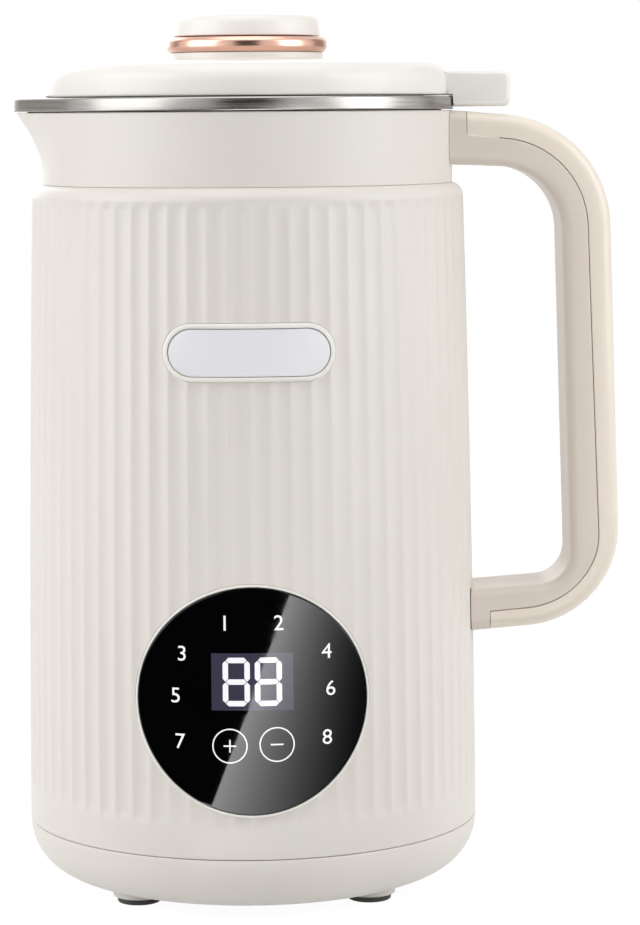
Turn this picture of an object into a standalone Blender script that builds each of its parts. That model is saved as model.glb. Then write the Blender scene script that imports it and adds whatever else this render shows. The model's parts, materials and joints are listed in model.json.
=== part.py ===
"""Soy milk maker: a ribbed jug machine with a touch panel, a lift-off lid and a motor in its base.

Metres, +Z up. The front with the panel looks along -Y, the handle is at +X and the spout at -X.
The origin is in the middle of the ground under the machine. The pieces are modelled about the
body's own axis and hang on three empties that stand on that axis.
"""
import math

import bmesh
import bpy
from mathutils import Vector

# Fits
GAP = 0.0003
OVERRUN = 0.0020
MERGE = 0.00001
CIRCLE_STEPS = 48
PANEL_STEPS = 36
HIDDEN_STEPS = 24
SMALL_STEPS = 20
TINY_STEPS = 10
SHARP_ANGLE = math.radians(35)

# Levels of the body, from the ground up
FOOT_HEIGHT = 0.0029
BASE_HEIGHT = 0.0155
SHELL_HEIGHT = 0.1785
COLLAR_HEIGHT = 0.0237
BASE_UNDERSIDE_Z = FOOT_HEIGHT
SEAM_Z = BASE_UNDERSIDE_Z + BASE_HEIGHT
SHELL_TOP_Z = SEAM_Z + SHELL_HEIGHT
RIM_TOP_Z = SHELL_TOP_Z + COLLAR_HEIGHT

# Outer shell
SHELL_FOOT_RADIUS = 0.0634
SHELL_TAPER = 0.0032
SHELL_TOP_RADIUS = SHELL_FOOT_RADIUS - SHELL_TAPER
SHELL_TAPER_POWER = 1.5
SHELL_WALL = 0.0020
SHELL_SEAT_STEP = 0.0008
SHOULDER_FILLET = 0.0040
SHOULDER_WALL = 0.0022
SHOULDER_STEP = 0.0031
RIB_COUNT = 70
RIB_DEPTH = 0.0005
RIB_FADE = 0.0025
RIB_RISE = 0.0076
RIB_START_Z = SEAM_Z + RIB_RISE
RIB_BAND_COUNT = 2
RIB_POINT_COUNT = 2

# Base cover and feet
BASE_CORNER = 0.0150
BASE_WALL = 0.0022
BASE_SPIGOT_WALL = 0.0014
BASE_SPIGOT_HEIGHT = 0.0025
FOOT_INSET = 0.0184
FOOT_PITCH_RADIUS = SHELL_FOOT_RADIUS - FOOT_INSET
FOOT_BOSS_RADIUS = 0.0072
FOOT_BOSS_HEIGHT = 0.0012
FOOT_PAD_RADIUS = 0.0060
FOOT_COUNT = 4
VENT_COUNT = 8
VENT_WIDTH = 0.0028
VENT_INNER_RADIUS = 0.0130
VENT_OUTER_RADIUS = 0.0220
BASE_SCREW_RADIUS = 0.0015
BASE_SCREW_HEAD_RADIUS = 0.0030
BASE_SCREW_HEAD = 0.0015
BASE_SCREW_LENGTH = 0.0120

# Collar, spout and stainless jug
COLLAR_RADIUS = SHELL_TOP_RADIUS - SHOULDER_STEP
COLLAR_WALL = 0.0020
COLLAR_SPIGOT_STEP = 0.0015
SHOULDER_OPENING = COLLAR_RADIUS - COLLAR_SPIGOT_STEP
COLLAR_SPIGOT_WALL = 0.0019
COLLAR_SPIGOT_DEPTH = 0.0069
COLLAR_LEDGE = 0.0015
RIM_OVERHANG = 0.0004
RIM_RADIUS = COLLAR_RADIUS + RIM_OVERHANG
RIM_BAND = 0.0036
RIM_LIP = 0.0008
JUG_MARGIN = 0.0051
JUG_RADIUS = COLLAR_RADIUS - JUG_MARGIN
JUG_WALL = 0.0008
JUG_CORNER = 0.0080
JUG_FLARE_DROP = 0.0076
JUG_FLARE_Z = RIM_TOP_Z - JUG_FLARE_DROP
JUG_FLARE = 0.0016
JUG_FLARE_TOP_DROP = 0.0031
JUG_FLARE_TOP_Z = RIM_TOP_Z - JUG_FLARE_TOP_DROP
SPOUT_REACH = 0.0075
SPOUT_DEPTH = 0.0196
SPOUT_START_Z = RIM_TOP_Z - SPOUT_DEPTH
SPOUT_TIP_SOFTNESS = math.radians(3.0)
SPOUT_POWER = 1.6
SPOUT_BAND_COUNT = 3

# Handle
HANDLE_WIDTH = 0.0260
HANDLE_EDGE = 0.0032
HANDLE_STEPS = 7
HANDLE_TOP_DROP = 0.0040
HANDLE_BEND_DROP = 0.0037
HANDLE_BEND_REACH = 0.0424
HANDLE_ELBOW_DROP = 0.1384
HANDLE_ELBOW_LEAN = 0.0042
HANDLE_FOOT_DROP = 0.0035
HANDLE_TOE_STEP = 0.0049
HANDLE_ROOT_X = COLLAR_RADIUS + GAP
HANDLE_TOE_X = HANDLE_ROOT_X + HANDLE_TOE_STEP
HANDLE_TOP_Z = RIM_TOP_Z - HANDLE_TOP_DROP
HANDLE_BEND_Z = HANDLE_TOP_Z - HANDLE_BEND_DROP
HANDLE_BEND_X = HANDLE_ROOT_X + HANDLE_BEND_REACH
HANDLE_ELBOW_Z = HANDLE_BEND_Z - HANDLE_ELBOW_DROP
HANDLE_ELBOW_X = HANDLE_BEND_X + HANDLE_ELBOW_LEAN
HANDLE_FOOT_Z = HANDLE_ELBOW_Z - HANDLE_FOOT_DROP
HANDLE_BEND_RADIUS = 0.0315
HANDLE_ELBOW_RADIUS = 0.0276
GRIP_TOP_DEPTH = 0.0149
GRIP_BEND_DROP = 0.0013
GRIP_DEPTH = 0.0133
GRIP_ELBOW_LEAN = 0.0032
GRIP_ELBOW_DROP = 0.1156
GRIP_FOOT_DROP = 0.0020
GRIP_TOP_Z = HANDLE_TOP_Z - GRIP_TOP_DEPTH
GRIP_BEND_Z = GRIP_TOP_Z - GRIP_BEND_DROP
GRIP_BEND_X = HANDLE_BEND_X - GRIP_DEPTH
GRIP_ELBOW_Z = GRIP_BEND_Z - GRIP_ELBOW_DROP
GRIP_ELBOW_X = GRIP_BEND_X + GRIP_ELBOW_LEAN
GRIP_FOOT_Z = GRIP_ELBOW_Z - GRIP_FOOT_DROP
GRIP_BEND_RADIUS = 0.0180
GRIP_ELBOW_RADIUS = 0.0090
COVER_START_SETBACK = 0.0031
COVER_END_SETBACK = 0.0045
COVER_START_X = HANDLE_ROOT_X + COVER_START_SETBACK
COVER_END_X = HANDLE_TOE_X + COVER_END_SETBACK
COVER_DEPTH_TOP = 0.0066
COVER_DEPTH_LOW = 0.0055
HANDLE_WALL = 0.0022
CHANNEL_START_SETBACK = 0.0096
CHANNEL_END_SETBACK = 0.0127
CHANNEL_START_X = HANDLE_ROOT_X + CHANNEL_START_SETBACK
CHANNEL_END_X = HANDLE_TOE_X + CHANNEL_END_SETBACK
HANDLE_SCREW_RADIUS = 0.0014
HANDLE_SCREW_HEAD_RADIUS = 0.0026
HANDLE_SCREW_HEAD = 0.0012
HANDLE_SCREW_LENGTH = 0.0110
REED_SWITCH_SIZE = (0.0070, 0.0120, 0.0022)

# Control panel
PANEL_RISE = 0.0430
PANEL_Z = SEAM_Z + PANEL_RISE
BEZEL_RADIUS = 0.0311
BEZEL_WIDTH = 0.00125
BEZEL_PROUD = 0.0008
BEZEL_LEDGE = 0.0019
BEZEL_LEDGE_THICKNESS = 0.0016
BEZEL_SINK = 0.0129
BEZEL_BACK_Y = -(SHELL_FOOT_RADIUS - BEZEL_SINK)
BEZEL_SKIRT_WALL = 0.0017
WINDOW_PROUD = 0.0005
WINDOW_THICKNESS = 0.0015
BOARD_THICKNESS = 0.0016
DISPLAY_BOARD_INSET = 0.0006
DISPLAY_WIDTH = 0.0250
DISPLAY_HEIGHT = 0.0190
DISPLAY_RISE = 0.0054

# Badge
BADGE_DROP = 0.0433
BADGE_Z = SHELL_TOP_Z - BADGE_DROP
BADGE_LENGTH = 0.0464
BADGE_HEIGHT = 0.0161
BADGE_FRAME_WIDTH = 0.0014
BADGE_FRAME_PROUD = 0.0009
BADGE_PLATE_PROUD = 0.0006
BADGE_POCKET = 0.0009

# Lid
LID_SETBACK = 0.0015
LID_RADIUS = RIM_RADIUS - LID_SETBACK
LID_WALL = 0.0022
LID_SIDE = 0.0041
LID_FILLET = 0.0052
LID_DOME = 0.0007
LID_PEDESTAL_RADIUS = 0.0213
LID_PEDESTAL_RISE = 0.0121
LID_PEDESTAL_TOP_Z = RIM_TOP_Z + LID_PEDESTAL_RISE
LID_SPIGOT_STEP = 0.0033
LID_SPIGOT_RADIUS = LID_PEDESTAL_RADIUS - LID_SPIGOT_STEP
LID_SPIGOT_HEIGHT = 0.0037
LID_SPIGOT_WALL = 0.0024
TAB_OVERHANG = 0.0152
TAB_REACH = RIM_RADIUS + TAB_OVERHANG
TAB_WIDTH = 0.0210
TAB_DROP = 0.0029
TAB_UNDERSIDE_Z = RIM_TOP_Z - TAB_DROP
TAB_THICKNESS = 0.0097
TAB_TOP_Z = TAB_UNDERSIDE_Z + TAB_THICKNESS
TAB_CORNER = 0.0018
TAB_RIM_CLEARANCE = 0.0006
MAGNET_RADIUS = 0.0040
MAGNET_THICKNESS = 0.0034
MAGNET_INSET = 0.0004
MAGNET_SETBACK = 0.0072
MAGNET_X = TAB_REACH - MAGNET_SETBACK
LINER_CLEARANCE = 0.0025
LINER_RADIUS = JUG_RADIUS - LINER_CLEARANCE
LINER_WALL = 0.0012
LINER_DEPTH = 0.0146
LINER_FLOOR_Z = RIM_TOP_Z - LINER_DEPTH
LINER_FLANGE_RISE = 0.0008
LINER_FLANGE_Z = RIM_TOP_Z + LINER_FLANGE_RISE
LINER_FLANGE = 0.0015
SEAL_GROOVE_RISE = 0.0022
SEAL_GROOVE_Z = LINER_FLOOR_Z + SEAL_GROOVE_RISE
SEAL_GROOVE_HEIGHT = 0.0032
SEAL_GROOVE_DEPTH = 0.0014
KNOB_RING_OVERHANG = 0.0011
KNOB_RING_RADIUS = LID_PEDESTAL_RADIUS + KNOB_RING_OVERHANG
KNOB_RING_HEIGHT = 0.0041
KNOB_SETBACK = 0.0019
KNOB_RADIUS = KNOB_RING_RADIUS - KNOB_SETBACK
KNOB_HEIGHT = 0.0062
KNOB_FILLET = 0.0028
KNOB_WALL = 0.0022

# Levels of the motor and of the jug's floor, from the base cover up
FAN_RISE = 0.0049
BRACKET_RISE = 0.0105
STATOR_RISE = 0.0155
STATOR_HEIGHT = 0.0240
FRAME_RISE = 0.0050
FRAME_PLATE = 0.0030
HEATER_ROOM = 0.0240
BASE_FLOOR_Z = BASE_UNDERSIDE_Z + BASE_WALL
FAN_Z = BASE_FLOOR_Z + FAN_RISE
BRACKET_Z = FAN_Z + BRACKET_RISE
STATOR_Z = BRACKET_Z + STATOR_RISE
FRAME_PLATE_Z = STATOR_Z + STATOR_HEIGHT + FRAME_RISE
JUG_FLOOR_Z = FRAME_PLATE_Z + FRAME_PLATE + HEATER_ROOM

# Motor frame
FRAME_FLAT_SINK = 0.0174
FRAME_FLAT_Y = -(SHELL_FOOT_RADIUS - FRAME_FLAT_SINK)
SKIRT_COIL_CLEARANCE = 0.0004
POST_INSET = 0.0188
POST_PITCH_RADIUS = SHELL_FOOT_RADIUS - POST_INSET
POST_RADIUS = 0.0035
POST_COUNT = 3
POST_FIRST_ANGLE = math.radians(60)
BEARING_BOSS_WALL = 0.0024
BEARING_LIP = 0.0012
CLIP_WIDTH = 0.0240
CLIP_DROP = 0.0050
CLIP_THICKNESS = 0.0014

# Motor
STATOR_RADIUS = 0.0300
STATOR_SLOT_SHARE = 0.8167
POLE_SHARE = 0.61
STATOR_SLOT_RADIUS = STATOR_RADIUS * STATOR_SLOT_SHARE
POLE_RADIUS = STATOR_RADIUS * POLE_SHARE
POLE_HALF_ANGLE = math.radians(50)
POLE_STEPS = 8
SLOT_STEPS = 6
COIL_CLEARANCE = 0.0005
COIL_LIP = 0.0007
COIL_OUTER_RADIUS = STATOR_SLOT_RADIUS - COIL_CLEARANCE
COIL_INNER_RADIUS = POLE_RADIUS + COIL_LIP
COIL_HALF_ANGLE = math.radians(68)
COIL_CLEAR_ANGLE = math.radians(1.5)
COIL_END = 0.0030
AIR_GAP = 0.0008
CORE_RADIUS = POLE_RADIUS - AIR_GAP
CORE_SLOT_COUNT = 10
CORE_BACK = 0.0065
CORE_SLOT_WIDTH = 0.0036
WINDING_SETBACK = 0.0017
WINDING_RADIUS = CORE_RADIUS - WINDING_SETBACK
WINDING_END = 0.0022
SHAFT_RADIUS = 0.0030
CORE_SLOT_RADIUS = SHAFT_RADIUS + CORE_BACK
WINDING_CLEARANCE = 0.0015
WINDING_INNER_RADIUS = SHAFT_RADIUS + WINDING_CLEARANCE
SHAFT_FOOT_DROP = 0.0014
SHAFT_FOOT_Z = FAN_Z - SHAFT_FOOT_DROP
COMMUTATOR_RADIUS = 0.0077
COMMUTATOR_RISE = 0.0067
COMMUTATOR_Z = BRACKET_Z + COMMUTATOR_RISE
COMMUTATOR_HEIGHT = 0.0057
BEARING_RADIUS = 0.0080
BEARING_HEIGHT = 0.0048
BRACKET_FLOOR = 0.0030
BRACKET_WALL = 0.0056
BRACKET_WINDOW_RISE = 0.0035
BRACKET_WINDOW_Z = BRACKET_Z + BRACKET_WINDOW_RISE
BRACKET_WINDOW_WIDTH = 0.0360
HOLDER_SETBACK = 0.0028
HOLDER_START_X = COMMUTATOR_RADIUS + HOLDER_SETBACK
HOLDER_LENGTH = 0.0073
HOLDER_END_X = HOLDER_START_X + HOLDER_LENGTH
HOLDER_WALL = 0.0018
HOLDER_BASE_SINK = 0.0005
BRUSH_WIDTH = 0.0060
BRUSH_HEIGHT = 0.0040
BRUSH_LENGTH = 0.0100
BOLT_INSET = 0.0034
BOLT_PITCH_RADIUS = STATOR_RADIUS - BOLT_INSET
BOLT_RADIUS = 0.0016
BOLT_HEAD_RADIUS = 0.0030
BOLT_HEAD = 0.0024
FAN_SETBACK = 0.0070
FAN_RADIUS = STATOR_RADIUS - FAN_SETBACK
FAN_PLATE = 0.0012
FAN_BLADE_HEIGHT = 0.0050
FAN_BLADE_WIDTH = 0.0012
FAN_BLADE_COUNT = 8
FAN_HUB_WALL = 0.0025
FAN_HUB_RADIUS = SHAFT_RADIUS + FAN_HUB_WALL
FAN_SINK = 0.0002

# Power board
POWER_BOARD_INSET = 0.0084
POWER_BOARD_X = SHELL_FOOT_RADIUS - POWER_BOARD_INSET
POWER_BOARD_WIDTH = 0.0380
POWER_BOARD_HEIGHT = 0.0380
RELAY_SIZE = (0.0105, 0.0160, 0.0180)
RELAY_DROP = 0.0080

# Heater, seal and blades
HEATER_PLATE_RADIUS = JUG_RADIUS - JUG_CORNER
HEATER_PLATE = 0.0023
HEATER_TUBE_RADIUS = 0.0032
HEATER_INSET = 0.0060
HEATER_PITCH_RADIUS = HEATER_PLATE_RADIUS - HEATER_INSET
HEATER_OPEN_ANGLE = math.radians(50)
HEATER_STEPS = 22
HEATER_LEAD = 0.0060
THERMOSTAT_RADIUS = 0.0055
THERMOSTAT_HEIGHT = 0.0050
SENSOR_RADIUS = 0.0025
SENSOR_HEIGHT = 0.0100
SHAFT_SEAL_WALL = 0.0030
HOUSING_NECK_WALL = 0.0020
HOUSING_HEAD_STEP = 0.0008
HOUSING_SHOULDER_STEP = 0.0012
HOUSING_FLANGE_STEP = 0.0050
SHAFT_SEAL_RADIUS = SHAFT_RADIUS + SHAFT_SEAL_WALL
HOUSING_NECK_RADIUS = SHAFT_SEAL_RADIUS + HOUSING_NECK_WALL
HOUSING_HEAD_RADIUS = HOUSING_NECK_RADIUS + HOUSING_HEAD_STEP
HOUSING_SHOULDER_RADIUS = HOUSING_HEAD_RADIUS + HOUSING_SHOULDER_STEP
HOUSING_FLANGE_RADIUS = HOUSING_SHOULDER_RADIUS + HOUSING_FLANGE_STEP
HOUSING_FLANGE = 0.0018
HOUSING_SHOULDER = 0.0025
HOUSING_HEAD = 0.0028
HOUSING_NECK = 0.0120
HOUSING_LIP = 0.0010
SHAFT_SEAL_HEIGHT = 0.0080
SEAL_NUT_WALL = 0.0040
SEAL_NUT_RADIUS = HOUSING_NECK_RADIUS + SEAL_NUT_WALL
SENSOR_CLEARANCE = 0.0060
SENSOR_PITCH_RADIUS = SEAL_NUT_RADIUS + SENSOR_CLEARANCE
HEATER_BORE_CLEARANCE = 0.0020
HEATER_PLATE_BORE = SEAL_NUT_RADIUS + HEATER_BORE_CLEARANCE
SEAL_NUT_HEIGHT = 0.0060
BLADE_SEAT_STEP = 0.0018
BLADE_SEAT_RADIUS = SHAFT_RADIUS + BLADE_SEAT_STEP
BLADE_SEAT = 0.0012
BLADE_CLEARANCE = 0.0004
BLADE_STUB_RADIUS = 0.0024
BLADE_THICKNESS = 0.0012
BLADE_RADIUS = 0.0270
BLADE_HUB_RADIUS = 0.0080
BLADE_HALF_WIDTH = 0.0055
BLADE_TIP_HALF_WIDTH = 0.0030
BLADE_DROP = 0.0035
BLADE_LIFT = 0.0085
BLADE_NUT_RADIUS = 0.0052
BLADE_NUT_HEIGHT = 0.0058
BLADE_NUT_CROWN = 0.0020

# Mains inlet
INLET_RISE = 0.0166
INLET_Z = SEAM_Z + INLET_RISE
INLET_FLANGE_WIDTH = 0.0310
INLET_FLANGE_HEIGHT = 0.0230
INLET_FLANGE_DEPTH = 0.0065
INLET_CORNER = 0.0030
INLET_WALL = 0.0020
INLET_FLANGE_EDGE = 0.0040
INLET_CAVITY_WIDTH = INLET_FLANGE_WIDTH - 2 * INLET_FLANGE_EDGE
INLET_CAVITY_HEIGHT = 0.0160
INLET_CAVITY_DEPTH = 0.0150
INLET_BACK = 0.0040
PIN_WIDTH = 0.0020
PIN_HEIGHT = 0.0040
PIN_SETBACK = 0.0058
PIN_TAIL = 0.0035
PIN_SPREAD = 0.0060
PIN_RISE = 0.0022

# Colours, roughness and metallic value
CREAM = ((0.760, 0.730, 0.672), 0.42, 0.0)
WARM_CREAM = ((0.830, 0.765, 0.672), 0.38, 0.0)
LID_WHITE = ((0.880, 0.868, 0.835), 0.30, 0.0)
PALE_GREY = ((0.740, 0.740, 0.760), 0.50, 0.0)
BLACK_GLASS = ((0.008, 0.008, 0.010), 0.06, 0.0)
RUBBER = ((0.060, 0.060, 0.060), 0.80, 0.0)
SILICONE = ((0.620, 0.620, 0.600), 0.60, 0.0)
STAINLESS = ((0.620, 0.600, 0.570), 0.25, 1.0)
STEEL = ((0.450, 0.450, 0.450), 0.35, 1.0)
LAMINATION = ((0.220, 0.220, 0.230), 0.45, 1.0)
COPPER = ((0.720, 0.330, 0.180), 0.35, 1.0)
ROSE_GOLD = ((0.800, 0.480, 0.370), 0.18, 1.0)
ALUMINIUM = ((0.650, 0.650, 0.660), 0.40, 1.0)
BRASS = ((0.700, 0.560, 0.260), 0.30, 1.0)
BLACK_PLASTIC = ((0.030, 0.030, 0.032), 0.50, 0.0)
GREY_PLASTIC = ((0.300, 0.300, 0.300), 0.55, 0.0)
BOARD_GREEN = ((0.050, 0.250, 0.100), 0.50, 0.0)
RELAY_BLUE = ((0.040, 0.150, 0.450), 0.45, 0.0)
GRAPHITE = ((0.050, 0.050, 0.055), 0.60, 0.2)
MAGNET_GREY = ((0.350, 0.350, 0.360), 0.30, 0.9)


def shell_radius(z):
    """Radius of the rib crests at a height, tapering from the seam to the shoulder."""
    share = (z - SEAM_Z) / (SHELL_TOP_Z - SHOULDER_FILLET - SEAM_Z)
    share = min(max(share, 0.0), 1.0)
    return SHELL_FOOT_RADIUS + (SHELL_TOP_RADIUS - SHELL_FOOT_RADIUS) * share ** SHELL_TAPER_POWER


def shell_inside(z):
    """Inner radius of the shell; above the motor frame the wall is thicker by the seat step."""
    radius = shell_radius(z) - RIB_DEPTH - SHELL_WALL
    if z >= FRAME_PLATE_Z + FRAME_PLATE:
        radius -= SHELL_SEAT_STEP
    return radius


def spout_share(z):
    """How far the spout has opened at a height, from none at its root to all at the rim."""
    root_to_rim = RIM_TOP_Z - RIM_BAND - SPOUT_START_Z
    share = min(max((z - SPOUT_START_Z) / root_to_rim, 0.0), 1.0)
    return share ** SPOUT_POWER


def spout_pull(angle, z):
    """Outward push of the wall: two straight flanks that run from the rim's circle to the beak."""
    half_angle = SPOUT_TIP_SOFTNESS + math.acos(RIM_RADIUS / (RIM_RADIUS + SPOUT_REACH))
    from_beak = abs(math.pi - angle % math.tau)
    softened = math.hypot(from_beak, SPOUT_TIP_SOFTNESS)
    if softened >= half_angle:
        return 0.0
    return RIM_RADIUS * (1.0 / math.cos(half_angle - softened) - 1.0) * spout_share(z)


def arc(centre, radius, first, last, steps):
    """Points of an arc in a plane, angles in radians."""
    angles = [first + (last - first) * step / steps for step in range(steps + 1)]
    return [(centre[0] + radius * math.cos(a), centre[1] + radius * math.sin(a)) for a in angles]


def circle(radius, steps, turn=0.0):
    """Points of a closed circle in a plane."""
    return arc((0.0, 0.0), radius, turn, turn + math.tau, steps)[:-1]


def rounded_rectangle(width, height, corner, steps=3):
    """Outline of a rectangle with round corners, about its middle."""
    points = []
    for quarter, (side_x, side_z) in enumerate(((1, 1), (-1, 1), (-1, -1), (1, -1))):
        centre = (side_x * (width / 2 - corner), side_z * (height / 2 - corner))
        first = quarter * math.pi / 2
        points += arc(centre, corner, first, first + math.pi / 2, steps)
    return points


def stadium(length, height, steps=10):
    """Outline with two straight sides and two half-round ends, about its middle."""
    radius = height / 2
    reach = length / 2 - radius
    right = arc((reach, 0.0), radius, -math.pi / 2, math.pi / 2, steps)
    left = arc((-reach, 0.0), radius, math.pi / 2, 3 * math.pi / 2, steps)
    middle = reach / 2
    upper = [(middle, radius), (0.0, radius), (-middle, radius)]
    lower = [(-middle, -radius), (0.0, -radius), (middle, -radius)]
    return right + upper + left + lower


def make_material(name, finish):
    """Principled material with a colour, a roughness and a metallic value."""
    colour, roughness, metallic = finish
    material = bpy.data.materials.new(name + "_finish")
    material.use_nodes = True
    shader = material.node_tree.nodes["Principled BSDF"]
    shader.inputs["Base Color"].default_value = (*colour, 1.0)
    shader.inputs["Roughness"].default_value = roughness
    shader.inputs["Metallic"].default_value = metallic
    material.diffuse_color = (*colour, 1.0)
    return material


def make_object(name, mesh_data, finish, parent, smooth=True):
    """Closed object from a bmesh, shaded smooth away from its sharp edges."""
    bmesh.ops.remove_doubles(mesh_data, verts=mesh_data.verts, dist=MERGE)
    bmesh.ops.dissolve_degenerate(mesh_data, dist=MERGE, edges=mesh_data.edges)
    bmesh.ops.recalc_face_normals(mesh_data, faces=mesh_data.faces)
    mesh = bpy.data.meshes.new(name)
    mesh_data.to_mesh(mesh)
    mesh_data.free()
    piece = bpy.data.objects.new(name, mesh)
    bpy.context.scene.collection.objects.link(piece)
    piece.parent = parent
    if finish:
        mesh.materials.append(make_material(name, finish))
    if smooth:
        mesh.shade_smooth()
        mesh.set_sharp_from_angle(angle=SHARP_ANGLE)
    return piece


def bridge(mesh_data, first, second):
    """Faces between two rings of points; one ring may have a whole multiple of the other's."""
    if len(first) < len(second):
        first, second = second, first
    multiple = len(first) // len(second)
    for index, corner in enumerate(second):
        following = second[(index + 1) % len(second)]
        fan = [first[(index * multiple + step) % len(first)] for step in range(multiple + 1)]
        if multiple == 1:
            mesh_data.faces.new((fan[0], fan[1], following, corner))
            continue
        for start, end in zip(fan, fan[1:]):
            mesh_data.faces.new((start, end, corner))
        mesh_data.faces.new((fan[-1], following, corner))


def loft(mesh_data, rings, closed):
    """Skin over rings of 3-D points; the ends are capped unless the rings close on themselves."""
    corners = [[mesh_data.verts.new(point) for point in ring] for ring in rings]
    for first, second in zip(corners, corners[1:]):
        bridge(mesh_data, first, second)
    if closed:
        bridge(mesh_data, corners[-1], corners[0])
    else:
        mesh_data.faces.new(corners[0])
        mesh_data.faces.new(corners[-1])


def turned(name, profile, finish, parent, steps=SMALL_STEPS, ring=False, pull=None):
    """Body turned about the axis from (radius, height) points; pull moves its wall outwards."""
    mesh_data = bmesh.new()
    corners = [mesh_data.verts.new((radius, 0.0, z)) for radius, z in profile]
    edges = [mesh_data.edges.new(pair) for pair in zip(corners, corners[1:])]
    if ring:
        edges.append(mesh_data.edges.new((corners[-1], corners[0])))
    bmesh.ops.spin(mesh_data, geom=corners + edges, cent=(0.0, 0.0, 0.0), axis=(0.0, 0.0, 1.0),
                   angle=math.tau, steps=steps, use_merge=True)
    if pull:
        for corner in mesh_data.verts:
            radius = math.hypot(corner.co.x, corner.co.y)
            angle = math.atan2(corner.co.y, corner.co.x)
            factor = 1.0 + pull(angle, corner.co.z) / radius
            corner.co.x *= factor
            corner.co.y *= factor
    return make_object(name, mesh_data, finish, parent)


def disc(name, radius, low, high, finish, parent, steps=SMALL_STEPS):
    """Solid cylinder about the axis."""
    return turned(name, [(0.0, low), (radius, low), (radius, high), (0.0, high)], finish, parent, steps)


def sleeve(name, inner, outer, low, high, finish, parent, steps=SMALL_STEPS):
    """Cylinder with a bore, about the axis."""
    profile = [(inner, low), (outer, low), (outer, high), (inner, high)]
    return turned(name, profile, finish, parent, steps, ring=True)


def box(name, low, high, finish, parent):
    """Rectangular block between two corners."""
    mesh_data = bmesh.new()
    bmesh.ops.create_cube(mesh_data, size=1.0)
    low, high = Vector(low), Vector(high)
    for corner in mesh_data.verts:
        for axis in range(3):
            corner.co[axis] = high[axis] if corner.co[axis] > 0.0 else low[axis]
    return make_object(name, mesh_data, finish, parent, smooth=False)


def prism(name, outline, low, high, finish, parent, plane="XY"):
    """Outline pushed along the third axis; plane names the outline's own two axes."""
    def place(a, b, depth):
        return (a, b, depth) if plane == "XY" else (a, depth, b)
    mesh_data = bmesh.new()
    loft(mesh_data, [[place(a, b, depth) for a, b in outline] for depth in (low, high)], closed=False)
    return make_object(name, mesh_data, finish, parent)


def use_as_tool(tool):
    """Cutters and guides stay out of the finished object."""
    tool.hide_render = True
    tool.display_type = "WIRE"
    return tool


def combine(piece, tool, operation):
    """Boolean of a piece with a tool object."""
    modifier = piece.modifiers.new(operation.lower() + "_" + tool.name, "BOOLEAN")
    modifier.operation = operation
    modifier.object = use_as_tool(tool)
    modifier.solver = "EXACT"
    return piece


def cut(piece, tool):
    """Remove a tool's volume from a piece."""
    return combine(piece, tool, "DIFFERENCE")


def add(piece, tool):
    """Fuse a tool's volume to a piece."""
    return combine(piece, tool, "UNION")


def stand(tool, x, y):
    """Move an upright round tool to its place, turned so that no corner lies on the middle plane."""
    tool.location = (x, y, 0.0)
    tool.rotation_euler.z = math.pi / len(tool.data.vertices)
    return tool


def cylinder_along_x(name, radius, low, high, height, parent, finish=None, steps=TINY_STEPS):
    """Round bar along X at a height on the machine's middle plane."""
    outline = circle(radius, steps)
    mesh_data = bmesh.new()
    loft(mesh_data, [[(x, a, height + b) for a, b in outline] for x in (low, high)], closed=False)
    return make_object(name, mesh_data, finish, parent)


def on_body(x, z, proud):
    """Point of the front above the body's skin by a distance, for a place seen from the front."""
    radius = shell_radius(z) + proud
    return (x, -math.sqrt(radius * radius - x * x), z)


def curved_plate(name, outline, height, front, back, finish, parent, shares=(1.0, 0.7, 0.35)):
    """Plate that follows the body's front, between two distances from its skin."""
    middle_x = sum(x for x, z in outline) / len(outline)
    mesh_data = bmesh.new()
    rings = []
    for proud, order in ((back, shares[::-1]), (front, shares)):
        for share in order:
            rings.append([on_body(middle_x + (x - middle_x) * share, height + z * share, proud)
                          for x, z in outline])
    corners = [[mesh_data.verts.new(point) for point in ring] for ring in rings]
    for first, second in zip(corners, corners[1:]):
        bridge(mesh_data, first, second)
    for ring, proud in ((corners[0], back), (corners[-1], front)):
        middle = mesh_data.verts.new(on_body(middle_x, height, proud))
        for start, end in zip(ring, ring[1:] + ring[:1]):
            mesh_data.faces.new((start, end, middle))
    return make_object(name, mesh_data, finish, parent)


def curved_frame(name, outer, inner, height, front, back, finish, parent):
    """Frame that follows the body's front, between two like outlines."""
    rings = [[on_body(x, height + z, proud) for x, z in outline]
             for outline, proud in ((outer, back), (outer, front), (inner, front), (inner, back))]
    mesh_data = bmesh.new()
    loft(mesh_data, rings, closed=True)
    return make_object(name, mesh_data, finish, parent)


def arc_block(name, inner, outer, first, last, low, high, finish, parent, steps=10):
    """Block bent round the axis between two radii, two angles and two heights."""
    near = arc((0.0, 0.0), inner, first, last, steps)
    far = arc((0.0, 0.0), outer, last, first, steps)
    return prism(name, near + far, low, high, finish, parent)


def screw(name, shank, head, head_height, length, finish, parent):
    """Screw that stands on its head: the head's top is at zero and the shank points up."""
    profile = [(0.0, 0.0), (head, 0.0), (head, head_height), (shank, head_height),
               (shank, head_height + length), (0.0, head_height + length)]
    return turned(name, profile, finish, parent, TINY_STEPS)


def rail(start, bend, elbow, end, bend_radius, elbow_radius, steps=HANDLE_STEPS):
    """Path of one handle edge in X and Z: two arms and a grip joined by two arcs.

    Each point comes with the direction that looks into the finger gap.
    """
    points = []
    corners = [Vector(start), Vector(bend), Vector(elbow), Vector(end)]
    points.append((corners[0], inward(corners[0], corners[1])))
    for before, corner, after, radius in ((corners[0], corners[1], corners[2], bend_radius),
                                          (corners[1], corners[2], corners[3], elbow_radius)):
        first = inward(before, corner)
        last = inward(corner, after)
        half_turn = first.angle(last) / 2
        centre = corner + (first + last).normalized() * (radius / math.cos(half_turn))
        for step in range(steps + 1):
            direction = first.slerp(last, step / steps)
            points.append((centre - direction * radius, direction))
    points.append((corners[3], inward(corners[2], corners[3])))
    return points


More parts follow.
